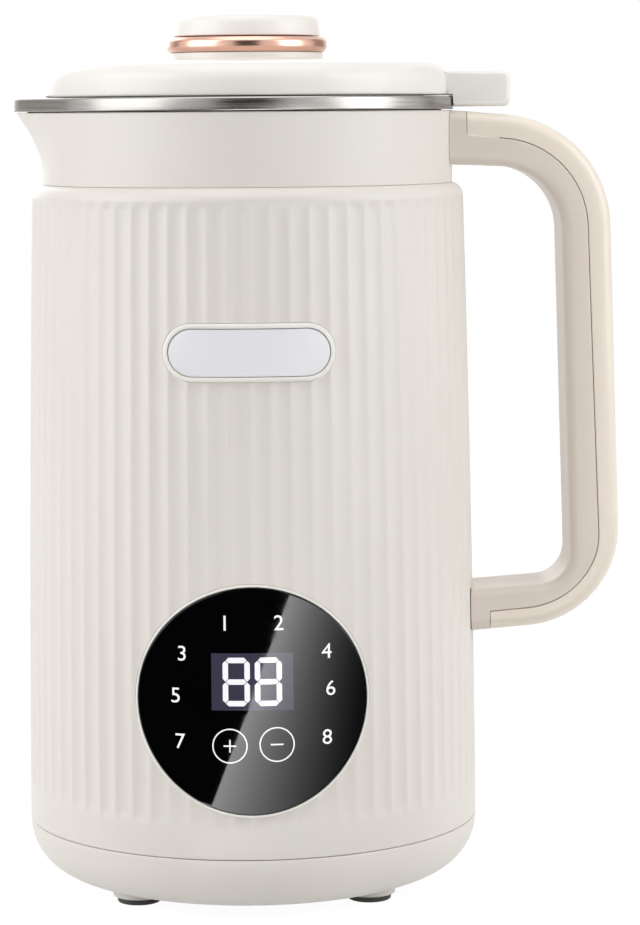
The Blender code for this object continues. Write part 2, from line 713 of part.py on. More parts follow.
def inward(first, second):
    """Direction square to a run of the handle, towards the finger gap."""
    run = (second - first).normalized()
    return Vector((run.y, -run.x))


def line_height(x, first, second):
    """Height at x of the straight line through two points."""
    return first[1] + (second[1] - first[1]) * (x - first[0]) / (second[0] - first[0])


def outer_rail(start_x, end_x):
    """Outer edge of the handle between two places on its upper and lower arm."""
    bend = (HANDLE_BEND_X, HANDLE_BEND_Z)
    elbow = (HANDLE_ELBOW_X, HANDLE_ELBOW_Z)
    start = (start_x, line_height(start_x, (HANDLE_ROOT_X, HANDLE_TOP_Z), bend))
    end = (end_x, line_height(end_x, (HANDLE_TOE_X, HANDLE_FOOT_Z), elbow))
    return rail(start, bend, elbow, end, HANDLE_BEND_RADIUS, HANDLE_ELBOW_RADIUS)


def inner_rail(start_x, end_x):
    """Edge of the handle along the finger gap between two places on its arms."""
    bend = (GRIP_BEND_X, GRIP_BEND_Z)
    elbow = (GRIP_ELBOW_X, GRIP_ELBOW_Z)
    start = (start_x, line_height(start_x, (HANDLE_ROOT_X, GRIP_TOP_Z), bend))
    end = (end_x, line_height(end_x, (HANDLE_TOE_X, GRIP_FOOT_Z), elbow))
    return rail(start, bend, elbow, end, GRIP_BEND_RADIUS, GRIP_ELBOW_RADIUS)


def cover_depth(station, stations):
    """Depth of the handle cover: one value to the end of the bend, another from the elbow on."""
    return COVER_DEPTH_TOP if station <= stations // 2 - 1 else COVER_DEPTH_LOW


def seam_rail(start_x, end_x, extra=0.0):
    """Seam between the handle and its cover; extra moves it outwards."""
    edge = outer_rail(start_x, end_x)
    return [point + direction * (cover_depth(station, len(edge)) - extra)
            for station, (point, direction) in enumerate(edge)]


def band(name, inner, outer, half_width, edge, parent, finish=None):
    """Bar between two paths of the handle, with a round edge of a radius where it isn't zero."""
    turns = [0.0, math.pi / 4, math.pi / 2] if edge else [math.pi / 2]
    mesh_data = bmesh.new()
    rings = []
    for near, far in zip(inner, outer):
        across = (far - near).normalized()
        corner = [(edge * (1 - math.sin(a)), half_width - edge * (1 - math.cos(a))) for a in turns]
        section = [(near + across * depth, -side) for depth, side in corner]
        section += [(near + across * depth, side) for depth, side in corner[::-1]]
        section += [(far - across * depth, side) for depth, side in corner]
        section += [(far - across * depth, -side) for depth, side in corner[::-1]]
        rings.append([(point.x, side, point.y) for point, side in section])
    loft(mesh_data, rings, closed=False)
    return make_object(name, mesh_data, finish, parent)


def build_outer_shell(parent):
    """Ribbed outer shell with openings for the panel, the inlet and a handle screw."""
    shoulder = arc((SHELL_TOP_RADIUS - SHOULDER_FILLET, SHELL_TOP_Z - SHOULDER_FILLET),
                   SHOULDER_FILLET, 0.0, math.pi / 2, 3)
    rib_top = SHELL_TOP_Z - SHOULDER_FILLET
    bottom = SEAM_Z + GAP
    full_low = RIB_START_Z + RIB_FADE
    full_high = rib_top - RIB_FADE
    bands = [full_low + (full_high - full_low) * step / RIB_BAND_COUNT for step in range(RIB_BAND_COUNT + 1)]
    lip_underside = SHELL_TOP_Z - SHOULDER_WALL
    seat = FRAME_PLATE_Z + FRAME_PLATE + GAP

    def plain_ring(radius, z):
        return [(x, y, z) for x, y in circle(radius, RIB_COUNT)]

    def ribbed_ring(z, depth):
        points = []
        for index, (x, y) in enumerate(circle(1.0, RIB_COUNT * RIB_POINT_COUNT)):
            radius = shell_radius(z) - (depth if index % RIB_POINT_COUNT == 0 else 0.0)
            points.append((x * radius, y * radius, z))
        return points

    rings = [plain_ring(shell_radius(bottom), bottom), ribbed_ring(RIB_START_Z, 0.0)]
    rings += [ribbed_ring(z, RIB_DEPTH) for z in bands]
    rings.append(ribbed_ring(rib_top, 0.0))
    rings += [plain_ring(radius, z) for radius, z in shoulder[1:]]
    rings.append(plain_ring(SHOULDER_OPENING, SHELL_TOP_Z))
    rings.append(plain_ring(SHOULDER_OPENING, lip_underside))
    rings.append(plain_ring(shell_inside(lip_underside), lip_underside))
    rings.append(plain_ring(shell_inside(seat), seat))
    rings.append(plain_ring(shell_inside(seat) + SHELL_SEAT_STEP, seat))
    rings.append(plain_ring(shell_inside(bottom), bottom))
    mesh_data = bmesh.new()
    loft(mesh_data, rings, closed=True)
    shell = make_object("outer_shell", mesh_data, CREAM, parent)

    panel_hole = circle(BEZEL_RADIUS + GAP, PANEL_STEPS)
    panel_outline = [(x, PANEL_Z + z) for x, z in panel_hole]
    cut(shell, prism("panel_hole_tool", panel_outline, -FRONT_REACH - OVERRUN, FRAME_FLAT_Y, None,
                     parent, "XZ"))
    inlet_outline = rounded_rectangle(INLET_FLANGE_WIDTH + 2 * GAP, INLET_FLANGE_HEIGHT + 2 * GAP,
                                      INLET_CORNER + GAP)
    inlet_outline = [(x, INLET_Z + z) for x, z in inlet_outline]
    cut(shell, prism("inlet_hole_tool", inlet_outline, -FRAME_FLAT_Y, FRONT_REACH + OVERRUN, None,
                     parent, "XZ"))
    pocket = stadium(BADGE_LENGTH + 2 * GAP, BADGE_HEIGHT + 2 * GAP)
    cut(shell, curved_plate("badge_pocket_tool", pocket, BADGE_Z, OVERRUN, -BADGE_POCKET, None, parent))
    inside = shell_inside(LOWER_SCREW_Z) - OVERRUN
    outside = shell_radius(LOWER_SCREW_Z) + OVERRUN
    cut(shell, cylinder_along_x("shell_screw_tool", HANDLE_SCREW_RADIUS + GAP, inside, outside,
                                LOWER_SCREW_Z, parent))
    return shell


def build_base_cover(parent):
    """Bowl that closes the bottom, with foot bosses, air vents and screw holes."""
    corner_centre = (SHELL_FOOT_RADIUS - BASE_CORNER, BASE_UNDERSIDE_Z + BASE_CORNER)
    outside = arc(corner_centre, BASE_CORNER, -math.pi / 2, 0.0, 5)
    spigot_outer = shell_inside(SEAM_Z) - GAP
    spigot_inner = spigot_outer - BASE_SPIGOT_WALL
    inner_corner = BASE_CORNER - BASE_WALL
    meet = math.acos((spigot_inner - corner_centre[0]) / inner_corner)
    inside = arc(corner_centre, inner_corner, -meet, -math.pi / 2, 3)
    profile = [(0.0, BASE_UNDERSIDE_Z)] + outside
    profile += [(SHELL_FOOT_RADIUS, SEAM_Z), (spigot_outer, SEAM_Z)]
    profile += [(spigot_outer, SEAM_Z + BASE_SPIGOT_HEIGHT), (spigot_inner, SEAM_Z + BASE_SPIGOT_HEIGHT)]
    profile += inside + [(0.0, BASE_FLOOR_Z)]
    cover = turned("base_cover", profile, CREAM, parent, CIRCLE_STEPS)
    for index, (x, y) in enumerate(foot_places()):
        boss = sleeve(f"foot_boss_tool_{index}", FOOT_PAD_RADIUS + GAP, FOOT_BOSS_RADIUS,
                      BASE_UNDERSIDE_Z - FOOT_BOSS_HEIGHT, BASE_UNDERSIDE_Z + BASE_WALL / 2, None, parent)
        add(cover, stand(boss, x, y))
    for index, (x, y) in enumerate(post_places()):
        head_top = BASE_UNDERSIDE_Z - GAP / 2
        wide = BASE_SCREW_HEAD_RADIUS + GAP
        narrow = BASE_SCREW_RADIUS + GAP
        outline = [(0.0, BASE_UNDERSIDE_Z - OVERRUN), (wide, BASE_UNDERSIDE_Z - OVERRUN), (wide, head_top),
                   (narrow, head_top), (narrow, BASE_FLOOR_Z + OVERRUN), (0.0, BASE_FLOOR_Z + OVERRUN)]
        hole = turned(f"base_screw_tool_{index}", outline, None, parent, TINY_STEPS)
        cut(cover, stand(hole, x, y))
    for index in range(VENT_COUNT):
        vent = box(f"vent_tool_{index}", (VENT_INNER_RADIUS, -VENT_WIDTH / 2, BASE_UNDERSIDE_Z - OVERRUN),
                   (VENT_OUTER_RADIUS, VENT_WIDTH / 2, BASE_FLOOR_Z + OVERRUN), None, parent)
        vent.rotation_euler.z = math.tau * index / VENT_COUNT
        cut(cover, vent)
    return cover


def foot_places():
    """Middles of the feet, on a circle between the machine's axes."""
    return circle(FOOT_PITCH_RADIUS, FOOT_COUNT, math.pi / FOOT_COUNT)


def post_places():
    """Middles of the motor frame's posts and of the screws in them."""
    return circle(POST_PITCH_RADIUS, POST_COUNT, POST_FIRST_ANGLE)


def build_feet(parent):
    """Rubber pads in the recesses of the foot bosses."""
    for index, (x, y) in enumerate(foot_places()):
        pad = disc(f"foot_pad_{index + 1}", FOOT_PAD_RADIUS, 0.0, BASE_UNDERSIDE_Z - GAP, RUBBER, parent)
        pad.location = (x, y, 0.0)


def build_base_screws(parent):
    """Screws through the base cover into the posts of the motor frame."""
    for index, (x, y) in enumerate(post_places()):
        piece = screw(f"base_screw_{index + 1}", BASE_SCREW_RADIUS, BASE_SCREW_HEAD_RADIUS,
                      BASE_SCREW_HEAD, BASE_SCREW_LENGTH, STEEL, parent)
        piece.location = (x, y, BASE_UNDERSIDE_Z - GAP - BASE_SCREW_HEAD)


def build_upper_collar(parent):
    """Smooth collar under the rim, with the spout's outer skin and a spigot into the shell."""
    low = SHELL_TOP_Z + GAP
    top = COLLAR_TOP_Z
    inner = COLLAR_RADIUS - COLLAR_WALL
    spigot_outer = SHOULDER_OPENING - GAP
    spigot_inner = spigot_outer - COLLAR_SPIGOT_WALL
    band_height = (top - SPOUT_START_Z) / SPOUT_BAND_COUNT
    levels = [SPOUT_START_Z + band_height * step for step in range(SPOUT_BAND_COUNT + 1)]
    profile = [(COLLAR_RADIUS, low)] + [(COLLAR_RADIUS, z) for z in levels]
    profile += [(inner, z) for z in levels[::-1]]
    profile += [(spigot_inner, levels[0] - COLLAR_LEDGE), (spigot_inner, low - COLLAR_SPIGOT_DEPTH)]
    profile += [(spigot_outer, low - COLLAR_SPIGOT_DEPTH), (spigot_outer, low)]
    collar = turned("upper_collar", profile, CREAM, parent, CIRCLE_STEPS, ring=True, pull=spout_pull)
    cut(collar, cylinder_along_x("collar_screw_tool", HANDLE_SCREW_RADIUS + GAP, inner - OVERRUN,
                                 COLLAR_RADIUS + OVERRUN, UPPER_SCREW_Z, parent))
    return collar


def build_inner_jug(parent):
    """Stainless jug: floor with a bore for the shaft, straight wall, flared mouth, folded rim, spout."""
    outer = JUG_RADIUS + JUG_WALL
    centre = (JUG_RADIUS - JUG_CORNER, JUG_FLOOR_Z + JUG_CORNER)
    bore = HOUSING_NECK_RADIUS + GAP
    rim_low = RIM_TOP_Z - RIM_BAND
    flare_inner = JUG_RADIUS + JUG_FLARE
    flare_outer = flare_inner + JUG_WALL
    flare_start = [SPOUT_START_Z + (JUG_FLARE_Z - SPOUT_START_Z) * step / 2 for step in range(3)]
    profile = [(bore, JUG_FLOOR_Z)] + arc(centre, JUG_CORNER, -math.pi / 2, 0.0, 3)
    profile += [(JUG_RADIUS, z) for z in flare_start]
    profile += [(flare_inner, JUG_FLARE_TOP_Z), (flare_inner + RIM_LIP, RIM_TOP_Z)]
    profile += [(RIM_RADIUS, RIM_TOP_Z), (RIM_RADIUS, rim_low), (RIM_RADIUS - RIM_LIP, rim_low)]
    profile += [(RIM_RADIUS - RIM_LIP, RIM_TOP_Z - 2 * RIM_LIP)]
    profile += [(flare_outer + RIM_LIP, RIM_TOP_Z - 2 * RIM_LIP), (flare_outer, JUG_FLARE_TOP_Z)]
    profile += [(outer, z) for z in flare_start[::-1]]
    profile += arc(centre, JUG_CORNER + JUG_WALL, 0.0, -math.pi / 2, 3) + [(bore, JUG_FLOOR_Z - JUG_WALL)]
    return turned("inner_jug", profile, STAINLESS, parent, CIRCLE_STEPS, ring=True, pull=spout_pull)


def body_skin_tool(name, parent):
    """Solid of the collar and the shell, one gap larger, that trims what meets the body."""
    levels = [SEAM_Z + (SHELL_TOP_Z - SEAM_Z) * step / 6 for step in range(7)]
    profile = [(0.0, SEAM_Z)] + [(shell_radius(z) + GAP, z) for z in levels]
    profile += [(COLLAR_RADIUS + GAP, SHELL_TOP_Z), (COLLAR_RADIUS + GAP, LID_BOTTOM_Z), (0.0, LID_BOTTOM_Z)]
    return turned(name, profile, None, parent, CIRCLE_STEPS)


def handle_envelope(name, parent, finish):
    """Whole handle before it is split along the seam, run into the body at both ends."""
    root = HANDLE_ROOT_X - 2 * OVERRUN
    toe = HANDLE_TOE_X - 2 * OVERRUN
    outer = [point for point, direction in outer_rail(root, toe)]
    inner = [point for point, direction in inner_rail(root, toe)]
    return band(name, inner, outer, HANDLE_WIDTH / 2, HANDLE_EDGE, parent, finish)


def cover_zone(name, start_x, end_x, extra, parent):
    """Space on the outer side of the seam, wider than the handle."""
    seam = seam_rail(start_x, end_x, extra)
    edge = outer_rail(start_x, end_x)
    beyond = [point - direction * OVERRUN for point, direction in edge]
    return band(name, seam, beyond, HANDLE_WIDTH / 2 + OVERRUN, 0.0, parent)


def channel(name, parent):
    """Hollow of the handle for the leads, between walls over the finger gap and under the cover."""
    near_edge = inner_rail(CHANNEL_START_X, CHANNEL_END_X)
    far_edge = outer_rail(CHANNEL_START_X, CHANNEL_END_X)
    near = [point - direction * HANDLE_WALL for point, direction in near_edge]
    far = [point + direction * HANDLE_WALL for point, direction in far_edge]
    return band(name, near, far, HANDLE_WIDTH / 2 - HANDLE_WALL, 0.0, parent)


def build_handle(parent):
    """Handle body with its channel, and the cover that closes it from outside."""
    body = handle_envelope("handle_body", parent, WARM_CREAM)
    cut(body, body_skin_tool("handle_trim_tool", parent))
    for name, z, root in (("upper", UPPER_SCREW_Z, COLLAR_RADIUS),
                          ("lower", LOWER_SCREW_Z, SHELL_FOOT_RADIUS)):
        bore = cylinder_along_x(name + "_handle_bore_tool", HANDLE_SCREW_RADIUS + GAP, root - OVERRUN,
                                root + HANDLE_SCREW_LENGTH, z, parent)
        cut(body, bore)
    cut(body, channel("body_channel_tool", parent))
    cut(body, cover_zone("cover_zone_tool", COVER_START_X, COVER_END_X, 0.0, parent))
    cover = handle_envelope("handle_cover", parent, WARM_CREAM)
    zone = cover_zone("cover_body_tool", COVER_START_X + GAP, COVER_END_X + GAP, GAP, parent)
    combine(cover, zone, "INTERSECT")
    cut(cover, channel("cover_channel_tool", parent))
    return body, cover


def build_handle_screws(parent):
    """Screws from inside the collar and the shell into the ends of the handle."""
    places = (("upper", UPPER_SCREW_Z, COLLAR_RADIUS - COLLAR_WALL),
              ("lower", LOWER_SCREW_Z, shell_inside(LOWER_SCREW_Z)))
    for name, z, wall in places:
        head_at = math.sqrt(wall ** 2 - HANDLE_SCREW_HEAD_RADIUS ** 2) - GAP - HANDLE_SCREW_HEAD
        piece = screw("handle_screw_" + name, HANDLE_SCREW_RADIUS, HANDLE_SCREW_HEAD_RADIUS,
                      HANDLE_SCREW_HEAD, HANDLE_SCREW_LENGTH, STEEL, parent)
        piece.rotation_euler.y = math.pi / 2
        piece.location = (head_at, 0.0, z)


def build_reed_switch(parent):
    """Switch in the handle's channel under the lid's magnet."""
    length, width, height = REED_SWITCH_SIZE
    start = CHANNEL_START_X + GAP
    floor = line_height(start, (HANDLE_ROOT_X, GRIP_TOP_Z), (GRIP_BEND_X, GRIP_BEND_Z)) + HANDLE_WALL + GAP
    box("reed_switch", (start, -width / 2, floor), (start + length, width / 2, floor + height),
        BLACK_PLASTIC, parent)


def build_panel(parent):
    """Bezel with its skirt, the glass, the two-figure display and its board."""
    opening = BEZEL_RADIUS - BEZEL_WIDTH
    ledge = WINDOW_PROUD - WINDOW_THICKNESS - GAP
    inner_ledge = opening - BEZEL_LEDGE
    skirt_inner = BEZEL_RADIUS - BEZEL_SKIRT_WALL

    def on_front(radius, proud):
        return [on_body(x, PANEL_Z + z, proud) for x, z in circle(radius, PANEL_STEPS)]

    def on_flat(radius, y):
        return [(x, y, PANEL_Z + z) for x, z in circle(radius, PANEL_STEPS)]

    mesh_data = bmesh.new()
    loft(mesh_data, [on_flat(BEZEL_RADIUS, BEZEL_BACK_Y), on_front(BEZEL_RADIUS, BEZEL_PROUD),
                     on_front(opening, BEZEL_PROUD), on_front(opening, ledge),
                     on_front(inner_ledge, ledge), on_front(inner_ledge, ledge - BEZEL_LEDGE_THICKNESS),
                     on_flat(skirt_inner, BEZEL_BACK_Y)], closed=True)
    make_object("control_bezel", mesh_data, CREAM, parent)
    curved_plate("control_window", circle(opening - GAP, PANEL_STEPS), PANEL_Z, WINDOW_PROUD,
                 WINDOW_PROUD - WINDOW_THICKNESS, BLACK_GLASS, parent)
    board_front = BEZEL_BACK_Y + GAP
    board = circle(BEZEL_RADIUS - DISPLAY_BOARD_INSET, SMALL_STEPS)
    prism("display_board", [(x, PANEL_Z + z) for x, z in board], board_front,
          board_front + BOARD_THICKNESS, BOARD_GREEN, parent, "XZ")
    middle = PANEL_Z + DISPLAY_RISE
    behind_glass = shell_radius(middle) + WINDOW_PROUD - WINDOW_THICKNESS
    front = -math.sqrt(behind_glass ** 2 - (DISPLAY_WIDTH / 2) ** 2) + GAP
    box("display_module", (-DISPLAY_WIDTH / 2, front, middle - DISPLAY_HEIGHT / 2),
        (DISPLAY_WIDTH / 2, board_front - GAP, middle + DISPLAY_HEIGHT / 2), GREY_PLASTIC, parent)


def build_badge(parent):
    """Oblong frame and its bare plate in the shell's pocket."""
    back = GAP - BADGE_POCKET
    inset = 2 * BADGE_FRAME_WIDTH
    curved_frame("badge_frame", stadium(BADGE_LENGTH, BADGE_HEIGHT),
                 stadium(BADGE_LENGTH - inset, BADGE_HEIGHT - inset), BADGE_Z, BADGE_FRAME_PROUD, back,
                 CREAM, parent)
    inset += 2 * GAP
    curved_plate("badge_plate", stadium(BADGE_LENGTH - inset, BADGE_HEIGHT - inset), BADGE_Z,
                 BADGE_PLATE_PROUD, back, PALE_GREY, parent)


def build_inlet(parent):
    """Mains socket at the back with three blades."""
    outline = rounded_rectangle(INLET_FLANGE_WIDTH, INLET_FLANGE_HEIGHT, INLET_CORNER)
    flange_back = FRONT_REACH - INLET_FLANGE_DEPTH
    cavity_floor = FRONT_REACH - INLET_CAVITY_DEPTH
    body_back = cavity_floor - INLET_BACK
    half_width = INLET_CAVITY_WIDTH / 2
    half_height = INLET_CAVITY_HEIGHT / 2
    socket = prism("inlet_socket", [(x, INLET_Z + z) for x, z in outline], flange_back, FRONT_REACH,
                   BLACK_PLASTIC, parent, "XZ")
    side = half_width + INLET_WALL
    rise = half_height + INLET_WALL
    add(socket, box("inlet_body_tool", (-side, body_back, INLET_Z - rise),
                    (side, flange_back + INLET_WALL, INLET_Z + rise), None, parent))
    cut(socket, box("inlet_cavity_tool", (-half_width, cavity_floor, INLET_Z - half_height),
                    (half_width, FRONT_REACH + OVERRUN, INLET_Z + half_height), None, parent))
    for name, x, z in (("earth", 0.0, PIN_RISE), ("live", -PIN_SPREAD, -PIN_RISE),
                       ("neutral", PIN_SPREAD, -PIN_RISE)):
        low = Vector((x - PIN_WIDTH / 2, body_back - PIN_TAIL, INLET_Z + z - PIN_HEIGHT / 2))
        high = Vector((x + PIN_WIDTH / 2, FRONT_REACH - PIN_SETBACK, INLET_Z + z + PIN_HEIGHT / 2))
        box("inlet_pin_" + name, low, high, BRASS, parent)
        room = Vector((GAP, 0.0, GAP))
        cut(socket, box("pin_slot_tool_" + name, low - room, high + room, None, parent))


def build_motor_frame(parent):
    """Plate on three posts that carries the motor, the upper bearing and the power board."""
    top = FRAME_PLATE_Z + FRAME_PLATE
    boss_outer = BEARING_RADIUS + GAP + BEARING_BOSS_WALL
    bearing_top = FRAME_PLATE_Z + GAP + BEARING_HEIGHT
    boss_top = bearing_top + GAP + BEARING_LIP
    frame_radius = shell_inside(SEAM_Z)
    frame_radius = min(frame_radius, shell_inside(top) + SHELL_SEAT_STEP) - GAP
    skirt_low = STATOR_Z + STATOR_HEIGHT + GAP
    skirt_inner = COIL_OUTER_RADIUS + SKIRT_COIL_CLEARANCE
    profile = [(BEARING_RADIUS + GAP, FRAME_PLATE_Z), (skirt_inner, FRAME_PLATE_Z), (skirt_inner, skirt_low),
               (STATOR_RADIUS, skirt_low), (STATOR_RADIUS, FRAME_PLATE_Z), (frame_radius, FRAME_PLATE_Z),
               (frame_radius, top), (boss_outer, top), (boss_outer, boss_top),
               (SHAFT_RADIUS + BEARING_LIP, boss_top), (SHAFT_RADIUS + BEARING_LIP, bearing_top + GAP),
               (BEARING_RADIUS + GAP, bearing_top + GAP)]
    frame = turned("motor_frame", profile, GREY_PLASTIC, parent, HIDDEN_STEPS, ring=True)
    for index, (x, y) in enumerate(post_places()):
        post_low = BASE_FLOOR_Z + GAP
        post_top = FRAME_PLATE_Z + FRAME_PLATE / 2
        pilot = BASE_SCREW_RADIUS + GAP
        pilot_top = BASE_FLOOR_Z + BASE_SCREW_LENGTH
        outline = [(0.0, post_top), (POST_RADIUS, post_top), (POST_RADIUS, post_low), (pilot, post_low),
                   (pilot, pilot_top), (0.0, pilot_top)]
        add(frame, stand(turned(f"post_tool_{index}", outline, None, parent, TINY_STEPS), x, y))
    for side, x in (("inner", POWER_BOARD_X - BOARD_THICKNESS / 2 - GAP - CLIP_THICKNESS),
                    ("outer", POWER_BOARD_X + BOARD_THICKNESS / 2 + GAP)):
        add(frame, box(side + "_clip_tool", (x, -CLIP_WIDTH / 2, FRAME_PLATE_Z - CLIP_DROP),
                       (x + CLIP_THICKNESS, CLIP_WIDTH / 2, FRAME_PLATE_Z + FRAME_PLATE / 2), None, parent))
    cut(frame, box("panel_flat_tool", (-frame_radius, -frame_radius - OVERRUN, FRAME_PLATE_Z - OVERRUN),
                   (frame_radius, FRAME_FLAT_Y, boss_top), None, parent))
    for side in (-1, 1):
        cut(frame, bolt_hole(f"frame_bolt_tool_{side + 1}", side, skirt_low, top, parent))
    return frame


def bolt_hole(name, side, low, high, parent):
    """Cutter for one motor bolt between two heights."""
    tool = disc(name, BOLT_RADIUS + GAP, low - OVERRUN, high + OVERRUN, None, parent, TINY_STEPS)
    return stand(tool, side * BOLT_PITCH_RADIUS, 0.0)


def build_brush_bracket(parent):
    """Lower bracket with the lower bearing's seat and two brush holders."""
    boss_outer = BEARING_RADIUS + GAP + BEARING_BOSS_WALL
    floor_top = BRACKET_Z + BRACKET_FLOOR
    bearing_low = BRACKET_Z + GAP
    bearing_top = bearing_low + BEARING_HEIGHT
    wall_top = STATOR_Z - GAP
    profile = [(BEARING_RADIUS + GAP, BRACKET_Z), (STATOR_RADIUS, BRACKET_Z), (STATOR_RADIUS, wall_top),
               (STATOR_RADIUS - BRACKET_WALL, wall_top), (STATOR_RADIUS - BRACKET_WALL, floor_top),
               (boss_outer, floor_top), (boss_outer, bearing_top + GAP + BEARING_LIP / 2),
               (SHAFT_RADIUS + BEARING_LIP, bearing_top + GAP + BEARING_LIP / 2),
               (SHAFT_RADIUS + BEARING_LIP, bearing_top + GAP), (BEARING_RADIUS + GAP, bearing_top + GAP)]
    bracket = turned("brush_bracket", profile, ALUMINIUM, parent, SMALL_STEPS, ring=True)
    side = BRACKET_WINDOW_WIDTH / 2
    reach = STATOR_RADIUS + OVERRUN
    cut(bracket, box("bracket_window_tool", (-side, -reach, BRACKET_WINDOW_Z),
                     (side, reach, wall_top + OVERRUN), None, parent))
    half_width = BRUSH_WIDTH / 2 + GAP
    for side in (-1, 1):
        ends = sorted((side * HOLDER_START_X, side * HOLDER_END_X))
        low = (ends[0], -half_width - HOLDER_WALL, floor_top - HOLDER_BASE_SINK)
        high = (ends[1], half_width + HOLDER_WALL, BRUSH_TOP_Z + GAP + HOLDER_WALL / 2)
        add(bracket, box(f"holder_tool_{side + 1}", low, high, None, parent))
    cut(bracket, box("brush_slot_tool", (-HOLDER_END_X - OVERRUN, -half_width, BRUSH_LOW_Z - GAP),
                     (HOLDER_END_X + OVERRUN, half_width, BRUSH_TOP_Z + GAP), None, parent))
    for side in (-1, 1):
        cut(bracket, bolt_hole(f"bracket_bolt_tool_{side + 1}", side, BRACKET_Z, wall_top, parent))
    return bracket


def build_motor(parent):
    """Stator with its two coils, bearings, brushes and through bolts."""
    low = STATOR_Z
    high = STATOR_Z + STATOR_HEIGHT
    slot_edge = POLE_HALF_ANGLE + COIL_CLEAR_ANGLE / 2
    slot_sweep = math.pi - 2 * slot_edge
    angles = []
    for turn in (0.0, math.pi):
        for step in range(POLE_STEPS + 1):
            angles.append((turn + POLE_HALF_ANGLE * (2 * step / POLE_STEPS - 1), POLE_RADIUS))
        for step in range(SLOT_STEPS + 1):
            angles.append((turn + slot_edge + slot_sweep * step / SLOT_STEPS, STATOR_SLOT_RADIUS))
    rings = []
    for z, on_outer in ((low, True), (high, True), (high, False), (low, False)):
        rings.append([((STATOR_RADIUS if on_outer else radius) * math.cos(a),
                       (STATOR_RADIUS if on_outer else radius) * math.sin(a), z) for a, radius in angles])
    mesh_data = bmesh.new()
    loft(mesh_data, rings, closed=True)
    stator = make_object("stator_core", mesh_data, LAMINATION, parent)
    for side in (-1, 1):
        cut(stator, bolt_hole(f"stator_bolt_tool_{side + 1}", side, low, high, parent))
    for name, turn in (("right", 0.0), ("left", math.pi)):
        coil = arc_block("field_coil_" + name, COIL_INNER_RADIUS, COIL_OUTER_RADIUS, turn - COIL_HALF_ANGLE,
                         turn + COIL_HALF_ANGLE, low - COIL_END, high + COIL_END, COPPER, parent)
        clear = POLE_HALF_ANGLE + COIL_CLEAR_ANGLE
        cut(coil, arc_block("pole_tool_" + name, COIL_INNER_RADIUS - OVERRUN, COIL_OUTER_RADIUS + OVERRUN,
                            turn - clear, turn + clear, low - GAP, high + GAP, None, parent))
    bore = SHAFT_RADIUS + GAP
    sleeve("upper_bearing", bore, BEARING_RADIUS, FRAME_PLATE_Z + GAP, FRAME_PLATE_Z + GAP + BEARING_HEIGHT,
           STEEL, parent)
    sleeve("lower_bearing", bore, BEARING_RADIUS, BRACKET_Z + GAP, BRACKET_Z + GAP + BEARING_HEIGHT,
           STEEL, parent)
    brush_start = COMMUTATOR_RADIUS + GAP
    for name, side in (("right", 1), ("left", -1)):
        ends = sorted((side * brush_start, side * (brush_start + BRUSH_LENGTH)))
        box("carbon_brush_" + name, (ends[0], -BRUSH_WIDTH / 2, BRUSH_LOW_Z),
            (ends[1], BRUSH_WIDTH / 2, BRUSH_TOP_Z), GRAPHITE, parent)
        bolt_length = FRAME_PLATE_Z + FRAME_PLATE - BRACKET_Z
        bolt = screw("motor_bolt_" + name, BOLT_RADIUS, BOLT_HEAD_RADIUS, BOLT_HEAD, bolt_length,
                     STEEL, parent)
        bolt.location = (side * BOLT_PITCH_RADIUS, 0.0, BRACKET_Z - GAP - BOLT_HEAD)


